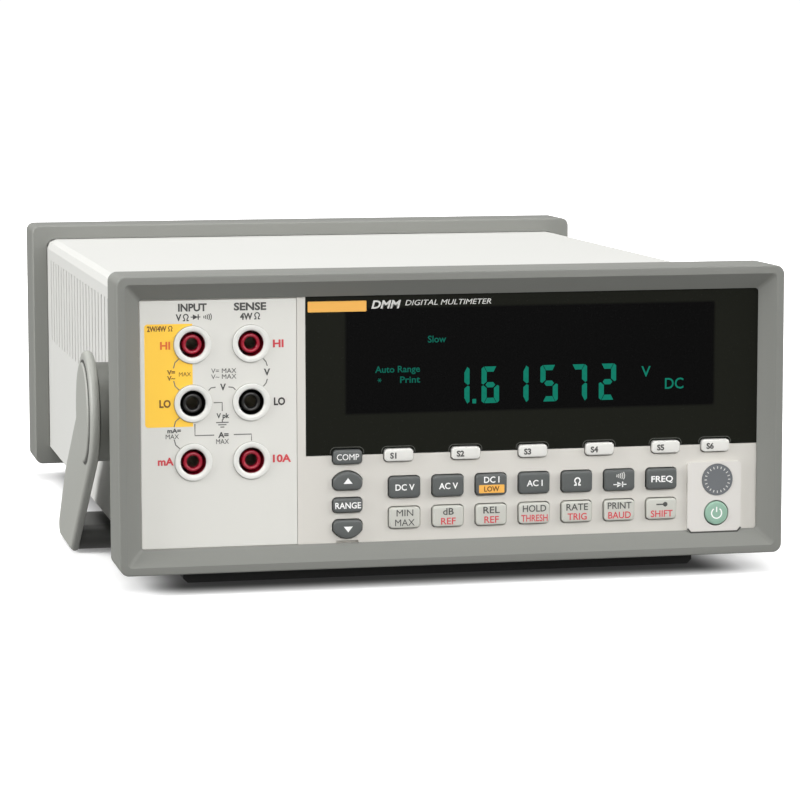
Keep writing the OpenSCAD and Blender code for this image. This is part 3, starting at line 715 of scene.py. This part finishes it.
def diode(x, z, wide, tall):
    """Outlines of a diode sign pointing right."""
    half = tall / 2
    line = 0.16 * tall
    triangle = [(x - half, z - half), (x + half * 0.9, z), (x - half, z + half)]
    return [triangle, stroke([(x - wide / 2, z), (x + wide / 2, z)], line),
            stroke([(x + half, z - half), (x + half, z + half)], 1.3 * line)]


def sound_waves(x, z, wide, tall, count=5):
    """Outlines of a sounder sign: close arcs that grow to the right."""
    bow = 35
    line = 0.13 * tall
    shapes = []
    for i in range(count):
        share = i / (count - 1)
        radius = tall / 2 * (0.35 + 0.65 * share) / math.sin(math.radians(bow))
        right = x - wide / 2 + wide * share
        shapes.append(stroke(arc((right - radius, z), radius, -bow, bow, 6), line))
    return shapes


def make_symbol_keys():
    """Keys marked with a sign: resistance and continuity."""
    x, z, front = make_cap("key_ohms", "key_dark")
    sign = flat_shape("key_ohms_sign", M["print_white"], omega(x, z, 2.5 * MM), front - INK)
    legend("key_ohms", sign)
    x, z, front = make_cap("key_continuity", "key_dark")
    sign = flat_shape("key_continuity_diode", M["print_white"], diode(x, z - 1.4 * MM, 4.5 * MM, 1.85 * MM),
                      front - INK)
    waves = flat_shape("key_continuity_waves", M["print_pale_grey"],
                       sound_waves(x + 0.3 * MM, z + 1.5 * MM, 2.6 * MM, 2.4 * MM), front - INK)
    legend("key_continuity", join("key_continuity_print", [sign, waves]))


def make_light_keys():
    """Light modifier keys with a grey legend over a red one."""
    for node, (upper, lower) in LIGHT_WORDS.items():
        x, z, front = make_cap(node, "key_light")
        ink = M["print_grey"] if node == "key_min_max" else M["print_red"]
        marks = []
        for (words, wide), finish, up in ((upper, M["print_grey"], 1.6), (lower, ink, -1.6)):
            if words:
                marks.append(lettering(node + "_word", finish, words, x, z + up * MM, front - INK / 2,
                                       2.15 * MM, wide=wide * MM, bold=0.04 * MM))
        if node == "key_shift":
            high = z + 1.5 * MM
            dot = moved(circle_ring(0.8 * MM, 16), x + 1.2 * MM, high)
            bar = stroke([(x - 1.9 * MM, high), (x + 0.6 * MM, high)], 0.45 * MM)
            marks.append(flat_shape(node + "_bar", M["print_grey"], [bar, dot], front - INK))
        legend(node, join(node + "_print", marks))


def make_soft_keys():
    """Pale soft keys numbered from the left, with a painted highlight line on the lens above each, where its
    key notch catches light.
    """
    arches = []
    reach = 0.77 * MM
    for number in range(1, 7):
        node = "softkey_%d" % number
        x, z, front = make_cap(node, "key_soft")
        text = lettering(node + "_legend", M["print_grey"], "S%d" % number, x - 2.0 * MM, z - 0.1 * MM,
                         front - INK / 2, 1.8 * MM, bold=0.1 * MM)
        legend(node, text)
        half_w, half_h = cap_size(node)[:2]
        arches.append(notch_highlight_line(x, z, half_w + reach, half_h + reach))
    half_w, half_h, x, z, _ = cap_size("key_comp")
    arches.append(notch_highlight_line(x, z, half_w + reach, half_h + reach))
    # Painted highlight: light lines on the lens along its key notches
    fixed(flat_shape("lens_notch_highlights", M["print_faint"], arches, lens_lo.y - INK))


def notch_highlight_line(x, z, half_w, half_h):
    """A painted highlight: a thin light line over a key that lies across the lens's lower edge, where the
    notch edge catches light.
    """
    radius = 1.6 * MM
    low = lens_lo.z + 0.3 * MM
    points = [(x + half_w, low)] + arc((x + half_w - radius, z + half_h - radius), radius, 0, 90, 5)
    points += arc((x - half_w + radius, z + half_h - radius), radius, 90, 180, 5) + [(x - half_w, low)]
    return stroke(points, 0.2 * MM)


def make_power_button():
    """Round power key with the standby sign."""
    x, z, front = make_cap("power_button", "power_green", "key_green")
    circle = stroke(arc((x, z), 1.75 * MM, 125, 415, 26), 0.42 * MM)
    bar = stroke([(x, z + 0.35 * MM), (x, z + 2.1 * MM)], 0.42 * MM)
    sign = flat_shape("power_sign", M["print_white"], [circle, bar], front - INK)
    legend("power_button", sign)


# ---------------------------------------------------------------- prints on the panels

def fixed(piece):
    """A piece that stays with the case."""
    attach(piece, "case")


def near(place, x, z):
    """A point so many millimetres to the right of a place and above it."""
    return place[0] + x * MM, place[1] + z * MM


def spoke(centre, angle, start, end, width):
    """The outline of a line along a radius, from start to end in millimetres."""
    return stroke([near(centre, r * math.cos(angle), r * math.sin(angle)) for r in (start, end)], width)


def print_words(name, words, face):
    """Printed words from (text, ink, place, right, up, cap height, width), in millimetres."""
    weight = 0.053
    return [lettering("%s_%d" % (name, i), M["print_" + ink], text, *near(place, right, up), face, cap * MM,
                      wide=wide * MM, bold=weight * cap * MM)
            for i, (text, ink, place, right, up, cap, wide) in enumerate(words)]


def make_yellow_field(face, hi, lo):
    """Yellow field behind the left sockets, cut round their collars."""
    left = -102.2 * MM
    low = 54.4 * MM
    high = 87.75 * MM
    corner = 1.0 * MM
    reach = COLLAR_R + 0.1 * MM
    outline = arc((left + corner, low + corner), corner, 180, 270, 4)
    outline += [(lo[0], low)] + arc(lo, reach, 270, 90, 24) + arc(hi, reach, 270, 90, 24) + [(hi[0], high)]
    outline += arc((left + corner, high - corner), corner, 90, 180, 4)
    fixed(flat_shape("yellow_field", M["print_yellow"], [outline], face + INK / 2, INK / 2))


def make_insert_print():
    """Yellow field, words, signs and linking lines round the sockets."""
    face = insert_lo.y - INK
    hi, lo, sense_hi, sense_lo, amp, amp10 = ((middle(node).x, middle(node).z) for node in SOCKETS)
    middle_x = (lo[0] + sense_lo[0]) / 2
    between = (middle_x, lo[1])
    make_yellow_field(face, hi, lo)
    big = 2.3
    mid = 2.0
    small = 1.35
    words = [
        ("INPUT", "grey", hi, 0.1, 12.0, big, 9.3), ("SENSE", "grey", sense_hi, -0.2, 12.0, big, 10.6),
        ("V", "grey", hi, -4.4, 8.8, mid, 1.9), ("4W", "grey", sense_hi, -1.45, 8.8, mid, 4.1),
        ("HI", "orange", hi, -8.85, -0.15, big, 3.3), ("LO", "brown", lo, -9.05, 0.1, big, 3.7),
        ("HI", "red", sense_hi, 8.95, -0.2, big, 3.5), ("LO", "dark", sense_lo, 9.25, 0, big, 3.7),
        ("mA", "red", amp, -9.0, 0.4, big, 5.2), ("10A", "red", amp10, 9.95, 0.4, big, 6.0),
        ("2W/4W", "brown", hi, -11.5, 5.3, 1.6, 6.3),
        ("V=", "brown", hi, -7.0, -8.8, small, 2.6), ("V~", "brown", hi, -7.0, -10.7, small, 2.6),
        ("MAX", "brown", hi, -2.5, -9.5, small, 3.9),
        ("V= MAX", "grey", between, 0.6, 10.4, 1.5, 8.2), ("V~ MAX", "grey", between, 0.6, 8.5, 1.5, 8.2),
        ("V", "grey", sense_hi, 5.2, -9.4, mid, 2.1), ("V", "grey", between, 0.3, 5.1, mid, 1.9),
        ("V pk", "grey", between, 0.2, -4.2, 1.5, 4.2),
        ("mA=", "grey", amp, -6.2, 10.35, small, 4.4), ("MAX", "grey", amp, -6.8, 8.45, 1.5, 4.3),
        ("A=", "grey", between, 0.3, -10.45, 1.7, 3.4), ("MAX", "grey", between, 0, -12.6, 1.6, 4.2),
    ]
    marks = print_words("terminal_word", words, face)
    signs = omega(*near(hi, -2.05, 8.75), 2.1 * MM) + omega(*near(sense_hi, 2.1, 8.85), 2.1 * MM)
    signs += diode(*near(hi, 1.1, 8.9), 3.2 * MM, 1.75 * MM)
    signs += sound_waves(*near(hi, 5.05, 8.85), 2.4 * MM, 2.2 * MM)
    marks.append(flat_shape("terminal_signs", M["print_grey"], signs, face))
    sign = omega(*near(hi, -7.1, 5.3), 1.6 * MM)
    marks.append(flat_shape("terminal_field_sign", M["print_brown"], sign, face))
    fixed(join("terminal_words", marks))
    make_links(face, hi, lo, sense_hi, sense_lo, amp, amp10, between)


def make_links(face, hi, lo, sense_hi, sense_lo, amp, amp10, between):
    """Thin lines that tie the sockets together on the print."""
    width = 0.36 * MM
    bow = ((4.4, 4.5), (5.7, 5.7), (6.2, 7.5))
    right_bow = ((4.0, 5.0), (4.9, 6.1), (5.3, 7.4))

    def line(place, *steps):
        return stroke([near(place, x, z) for x, z in steps], width)

    def brackets(one, two, side, steps):
        """Two short arcs beside a pair of sockets, one from each."""
        return [line(place, *[(side * x, way * z) for x, z in steps]) for place, way in ((one, -1), (two, 1))]

    lines = brackets(hi, lo, -1, bow) + brackets(lo, amp, -1, bow)
    lines += brackets(sense_hi, sense_lo, 1, right_bow)
    for side in (-1, 1):
        lines.append(line(between, (side * 4.4, 4.1), (side * 3.6, 4.9), (side * 2.1, 5.1)))
    lines += [line(between, (-2.8, 0.1), (0, 0.1), (0, -2.7)), line(between, (0, -5.4), (0, -6.4))]
    for index, half in enumerate((2.05, 1.35, 0.65)):
        drop = -6.4 - 0.75 * index
        lines.append(line(between, (-half, drop), (half, drop)))
    shelf = -10.45
    lines += [line(between, (-8.95, -6.6), (-8.95, shelf), (-2.7, shelf)),
              line(between, (3.7, shelf), (9.5, shelf), (9.5, -12.6))]
    fixed(flat_shape("terminal_links", M["print_line"], lines, face))


# ---------------------------------------------------------------- display

SEGMENTS = {"1": "bc", "5": "afgcd", "6": "afgcde", "7": "abc", "2": "abged"}
DIGIT_W = 5.95 * MM
DIGIT_H = 12.1 * MM
DIGIT_T = 1.75 * MM


def segment(name, x, z):
    """Outline of one of seven segments of a digit centred at x, z."""
    w = DIGIT_W / 2
    h = DIGIT_H / 2
    t = DIGIT_T
    gap = 0.12 * MM
    slant = 0.55 * t
    if name in "ad":
        way = 1 if name == "a" else -1
        outer = z + way * h
        inner = z + way * (h - t)
        return [(x - w + slant, outer), (x + w - slant, outer),
                (x + w - t - gap, inner), (x - w + t + gap, inner)]
    if name == "g":
        half = t * 0.5
        tip = w - t * 0.75
        body = w - t * 1.15
        return [(x - tip, z), (x - body, z + half), (x + body, z + half),
                (x + tip, z), (x + body, z - half), (x - body, z - half)]
    side = 1 if name in "bc" else -1
    way = 1 if name in "bf" else -1
    outer = x + side * w
    inner = x + side * (w - t)
    return [(outer, z + way * (h - slant * 0.7)), (outer, z + way * (gap + 0.2 * t)),
            (outer - side * t * 0.35, z + way * gap), (inner, z + way * (gap + 0.55 * t)),
            (inner, z + way * (h - t - gap)), (outer - side * slant * 0.8, z + way * h)]


def make_display():
    """The lens with its badge, title and the lit tube behind it."""
    face = lens_lo.y
    left = 2.0 * MM
    pitch = 9.99 * MM
    base = 65.5 * MM
    outlines = []
    for index, value in enumerate("161572"):
        x = left + index * pitch
        outlines += [segment(name, x, base) for name in SEGMENTS[value]]
    outlines.append(moved(rounded_ring(0.65 * MM, 0.75 * MM, 0.2 * MM, 2),
                          left + 0.5 * DIGIT_W + 1.6 * MM, base - DIGIT_H / 2 + 0.75 * MM))
    words = [flat_shape("display_digits", M["phosphor_teal"], outlines, face - INK / 2, INK)]
    for index, (text, finish, x, z, cap, wide, align) in enumerate((
            ("Slow", "phosphor_dim", -9.05, 81.0, 2.15, 6.15, "LEFT"),
            ("Auto Range", "phosphor_dim", -26.7, 71.4, 2.05, 15.0, "LEFT"),
            ("Print", "phosphor_dim", -18.35, 67.9, 2.05, 6.7, "LEFT"),
            ("V", "phosphor_teal", 65.2, 68.6, 3.4, 3.2, "CENTER"),
            ("DC", "phosphor_teal", 75.0, 64.4, 3.5, 6.4, "CENTER"))):
        words.append(lettering("display_word_%d" % index, M[finish], text, x * MM, z * MM, face - INK / 2,
                               cap * MM, wide=wide * MM, bold=0.05 * MM, align=align))
    star = [spoke((-25.2 * MM, 67.9 * MM), a, -0.7, 0.7, 0.2 * MM) for a in (0, math.pi / 3, -math.pi / 3)]
    words.append(flat_shape("display_star", M["phosphor_dim"], star, face - INK / 2, INK))
    fixed(join("display_segments", words))

    badge = moved(rounded_ring(9.7 * MM, 1.75 * MM, 0.3 * MM, 3), -39.2 * MM, 92.3 * MM)
    fixed(flat_shape("badge_bar", M["badge_orange"], [badge], face - INK))
    titles = [lettering("lens_title_%d" % i, M["print_pale_grey"], text, x * MM, z * MM, face - INK / 2,
                        cap * MM, wide=wide * MM, bold=bold * MM, align="LEFT", slant=0.25)
              for i, (text, x, z, cap, wide, bold) in enumerate((
                  ("DMM", -27.9, 92.7, 2.5, 9.9, 0.1),
                  ("DIGITAL MULTIMETER", -16.6, 93.1, 1.7, 28.8, 0.03)))]
    fixed(join("lens_title", titles))


def make_plate_gap():
    """A painted shadow: a dark line under the power plate, over the bumper's lip."""
    low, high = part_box("power_plate")
    corner = 1.2 * MM
    drop = 0.15 * MM
    line = stroke([(low.x, low.z + corner), (low.x + corner, low.z - drop), (high.x - corner, low.z - drop),
                   (high.x, low.z + corner)], 0.55 * MM)
    # Painted shadow: a dark flat strip where the plate's lower edge casts shade on the lip
    fixed(flat_shape("plate_gap", M["painted_shade_plastic"], [line], low.y - 0.3 * MM, 0.3 * MM))


def make_seal():
    """Ring of small ticks on the round seal."""
    centre = (middle("calibration_seal").x, middle("calibration_seal").z)
    count = 20
    ticks = [spoke(centre, math.tau * i / count, 3.7, 4.5, 0.3 * MM) for i in range(count)]
    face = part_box("calibration_seal")[0].y
    fixed(flat_shape("seal_ticks", M["print_pale_grey"], ticks, face - INK))


# ---------------------------------------------------------------- handle

ARM_T = 4 * MM
ARM_SLOPE = 32
ARM_RISE = 9.7 * MM
ARM_LEN = 66 * MM
BAR_R = 4.2 * MM
BAR_D = 38 * MM
BAR_H = 8.5 * MM
HUB_PROUD = 0.8 * MM
HUB_STEPS = 96
GROOVE_W = 0.9 * MM
ARM_EDGE = 1.5 * MM


def arm_outline(pivot, hub, back, low):
    """Side outline (y, z) of an arm: a round hub, a bar on its lower tangent, and a foot."""
    slope = math.radians(ARM_SLOPE)

    def on_arm(along, above):
        """A point so far along the arm from the pivot and above the line through it."""
        return (pivot[0] + along * math.cos(slope) + above * math.sin(slope),
                pivot[1] - along * math.sin(slope) + above * math.cos(slope))

    fillet = 8 * MM
    high = ARM_RISE + fillet
    turn = math.degrees(math.asin(high / (hub + fillet)))
    start = math.sqrt((hub + fillet) ** 2 - high ** 2)
    points = arc(pivot, hub, turn - ARM_SLOPE, 270 - ARM_SLOPE, 40)
    toe = 2 * MM
    tip = on_arm((pivot[1] - hub * math.cos(slope) - low - toe) / math.sin(slope), -hub)
    points += [tip, (tip[0] + toe, low)]
    points += arc((back - BAR_R, low + BAR_R), BAR_R, -90, 45, 9)
    bend = on_arm(ARM_LEN, ARM_RISE)
    points += [on_arm(ARM_LEN + 5 * MM, ARM_RISE - 0.9 * MM), bend, on_arm(ARM_LEN - 6 * MM, ARM_RISE)]
    points += arc(on_arm(start, high), fillet, 270 - ARM_SLOPE, 180 + turn - ARM_SLOPE, 8)[:-1]
    return points


def plate_across(name, finish, outline, x0, x1, edge=0.0, smooth=40.0):
    """A plate between two x, with rounded edges if asked, whose side view is the outline in (y, z)."""
    shape = bmesh.new()
    skin(shape, *[[shape.verts.new((x, y, z)) for y, z in outline] for x in (x0, x1)])
    if edge:
        bmesh.ops.recalc_face_normals(shape, faces=shape.faces)
        rim = [e for e in shape.edges if len({round(v.co.x, 7) for v in e.verts}) == 1]
        bmesh.ops.bevel(shape, geom=rim, offset=edge, segments=5, profile=0.5, affect="EDGES",
                        clamp_overlap=True)
    return from_bmesh(name, shape, finish, smooth)


def make_handle():
    """Bail handle: two flat arms on round hubs with a disc and a groove painted dark as shade, and a broad
    crossbar painted dark as the shade under the case.
    """
    low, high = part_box("carry_handle")
    boss_lo, boss_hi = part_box("pivot_bosses")
    pivot = ((boss_lo.y + boss_hi.y) / 2, MID_Z)
    hub = high.z - MID_Z
    outline = arm_outline(pivot, hub, high.y, low.z)
    outer = high.x - HUB_PROUD
    parts = []
    disc_r = 16.6 * MM
    soft = 0.6 * MM
    sunk = 0.5 * MM
    for side in (-1, 1):
        inner = side * (high.x - ARM_T)
        parts.append(plate_across("arm", M["handle_plastic"], outline, inner, side * outer, ARM_EDGE))
        profile = [(disc_r, -sunk), (disc_r, HUB_PROUD - soft)]
        profile += arc((disc_r - soft, HUB_PROUD - soft), soft, 0, 90, 4)[1:]
        profile.append((disc_r - 2 * soft, HUB_PROUD))
        rings = [(circle_ring(radius, HUB_STEPS), y) for radius, y in profile]
        disc = loft("hub_disc", M["handle_plastic"], rings, (0, 0))
        # Painted shade: the groove round the disc takes the near-black grey, as it lies in shade
        profile = [(disc_r, HUB_PROUD * 0.3), (disc_r + GROOVE_W, HUB_PROUD * 0.1),
                   (disc_r + GROOVE_W, -0.2 * MM), (disc_r, -0.2 * MM)]
        groove = lathe("hub_groove", M["painted_shade_plastic"], profile, (0, 0), HUB_STEPS)
        turned = Matrix.Rotation(math.radians(-90 * side), 4, "Z")
        for piece in (disc, groove):
            piece.data.transform(Matrix.Translation((side * outer, *pivot)) @ turned)
            parts.append(piece)
    # Painted shade: the crossbar takes the near-black grey of the shade under the case
    section = moved(rounded_ring(BAR_D / 2, BAR_H / 2, BAR_R), high.y - BAR_D / 2, low.z + BAR_H / 2)
    end = high.x - ARM_T + 0.3 * MM
    parts.append(plate_across("crossbar", M["painted_shade_plastic"], section, -end, end, smooth=50))
    piece = join("carry_handle_shell", parts)
    piece.data.set_sharp_from_angle(angle=math.radians(40))
    stand_for(piece, "carry_handle")


# ---------------------------------------------------------------- kept CAD nodes

def paint_frame():
    """Finishes for the CAD nodes that stay as they are."""
    finishes = {
        "case_sleeve": ("case_paint", 0.5), "front_panel": ("panel_plastic", 0.12),
        "jack_panel": ("insert_plastic", 0.2), "display_lens": ("display_lens", 0.3),
        "power_plate": ("plate_plastic", 0.35), "calibration_seal": ("seal_grey", 0.15),
        "pivot_bosses": ("boss_plastic", 0.8), "front_foot": ("foot_rubber", 0.8),
        "rear_feet": ("foot_rubber", 0.8), "rear_panel": ("rear_paint", 0.2),
        "mains_inlet": ("inlet_plastic", 0.3), "fuse_drawer": ("inlet_plastic", 0.3),
        "serial_port": ("nickel_shell", 0.12), "ground_screw": ("contact_plating", 0.2),
        "panel_screws": ("screw_steel", 0.12), "chassis_tray": ("tray_zinc", 0),
        "vfd_tube": ("tube_glass", 0), "display_board": ("board_green", 0),
        "dome_mat": ("dome_silicone", 0), "jack_contacts": ("contact_nickel", 0),
        "mains_fuse": ("fuse_body", 0), "main_board": ("board_green", 0),
        "transformer": ("transformer_core", 0), "current_fuses": ("fuse_body", 0),
        "board_standoffs": ("contact_plating", 0),
    }
    for node, (finish, rounding) in finishes.items():
        repaint(node, M[finish], rounding * MM)


# ---------------------------------------------------------------- stage, light and camera

def stage_piece(name, made):
    """Names the new object, which the camera sees but which sheds no light on the multimeter."""
    piece = bpy.context.object
    piece.name = name
    piece.data.materials.append(made)
    for ray in ("diffuse", "glossy", "transmission", "shadow"):
        setattr(piece, "visible_" + ray, False)


def floor_finish():
    """White that glows more with distance, with a painted contact shadow: dark under the multimeter's
    footprint.
    """
    made, tree, shader, coords = new_material("studio_white")
    fill(shader, {"Roughness": 0.9, "Specular IOR Level": 0.1, "Emission Color": (1, 1, 1, 1)})
    reach = add_node(tree, "ShaderNodeVectorMath", operation="LENGTH")
    tree.links.new(coords, reach.inputs[0])
    far = ramp(tree, reach.outputs["Value"], 0.2, 0.8, 0.25, 1.2, "SMOOTHSTEP")
    # Painted shadow: under the footprint the floor's colour falls to a tenth and its glow to nothing
    low = Vector((-98, -141, 0)) * MM
    high = Vector((98, 144, 0)) * MM
    painted_shadow_factor = ramp(tree, window_mask(tree, coords, low, high, 11 * MM, "XY"), 1.0, 0.1)
    tree.links.new(painted_shadow_factor, shader.inputs["Base Color"])
    tree.links.new(multiply(tree, far, painted_shadow_factor), shader.inputs["Emission Strength"])
    return made


def make_stage():
    """White studio floor, and a white wall far round it."""
    bpy.ops.mesh.primitive_plane_add(size=24, location=(0, 0, 0))
    stage_piece("studio_floor", floor_finish())
    bpy.ops.mesh.primitive_cylinder_add(vertices=96, radius=4.5, depth=4, end_fill_type="NOTHING",
                                        location=(0, 0, 1.9))
    made, _, shader, _ = new_material("studio_glow")
    fill(shader, {"Base Color": (0, 0, 0, 1), "Emission Color": (1, 1, 1, 1), "Emission Strength": 1.0})
    stage_piece("studio_wall", made)


def make_sky():
    """Dark at the horizon, brighter bands above it, and a dim ground, grey all through."""
    world = bpy.data.worlds.new("studio")
    world.use_nodes = True
    tree = world.node_tree
    coords = add_node(tree, "ShaderNodeTexCoord").outputs["Generated"]
    split = add_node(tree, "ShaderNodeSeparateXYZ")
    tree.links.new(coords, split.inputs["Vector"])
    height = ramp(tree, split.outputs["Z"], 0.0, 1.0, -1.0)
    shades = add_node(tree, "ShaderNodeValToRGB")
    stops = shades.color_ramp.elements
    for at, _ in SKY[1:-1]:
        stops.new((at + 1) / 2)
    for stop, (_, shade) in zip(stops, SKY):
        stop.color = (shade, shade, shade, 1)
    tree.links.new(height, shades.inputs["Fac"])
    tree.links.new(shades.outputs["Color"], tree.nodes["Background"].inputs["Color"])
    SCENE.world = world


def area_light(name, place, target, size, power):
    """A square soft box that faces its target."""
    data = bpy.data.lights.new(name, "AREA")
    data.size = size
    data.energy = power
    lamp = bpy.data.objects.new(name, data)
    lamp.location = place
    lamp.rotation_euler = (Vector(target) - Vector(place)).to_track_quat("-Z", "Y").to_euler()
    SCENE.collection.objects.link(lamp)


def make_camera():
    """Long lens, a little above and to the left of the front."""
    place = Vector((-234.07, -1139.33, 180.83)) * MM
    tip, roll, turn = (math.radians(a) for a in (6.694, -0.0955, 12.232))
    view = Matrix.Rotation(tip, 3, "X") @ Matrix.Rotation(roll, 3, "Y") @ Matrix.Rotation(turn, 3, "Z")
    right, ahead, up = view[0], view[1], view[2]
    data = bpy.data.cameras.new("camera")
    data.lens = 141.285
    data.sensor_width = 36
    data.clip_end = 50
    cam = bpy.data.objects.new("camera", data)
    axes = Matrix((right, up, -ahead)).transposed()
    cam.matrix_world = Matrix.Translation(place) @ axes.to_4x4()
    SCENE.collection.objects.link(cam)
    SCENE.camera = cam


# Brightness of the sky by the sine of its height above the horizon
SKY = ((-1, 0.45), (-0.35, 0.15), (-0.1, 0.38), (-0.03, 0.02), (0.04, 0.02), (0.13, 0.02), (0.3, 0.44),
       (0.5, 1.45), (0.75, 0.02), (1, 1.24))

make_camera()
make_stage()
make_sky()
area_light("left_light", (-2.2, -0.3, 0.9), (0, 0, 0.05), 1.4, 60)
area_light("right_light", (2.0, -1.2, 0.9), (0, 0, 0.05), 1.4, 30)
area_light("front_light", (0, -2.2, 0.9), (0, -0.1, 0.05), 1.4, 26)
area_light("high_light", (0, 0.1, 2), (0, 0, 0.05), 1.2, 13)
SCENE.view_settings.view_transform = "Standard"

make_bumper("front_bumper", FRONT, 1)
make_bumper("rear_bumper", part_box("rear_bumper")[1].y, -1)
make_terminals()
make_dark_keys()
make_current_key()
make_symbol_keys()
make_light_keys()
make_soft_keys()
make_power_button()
make_insert_print()
make_display()
make_seal()
make_plate_gap()
make_handle()
paint_frame()
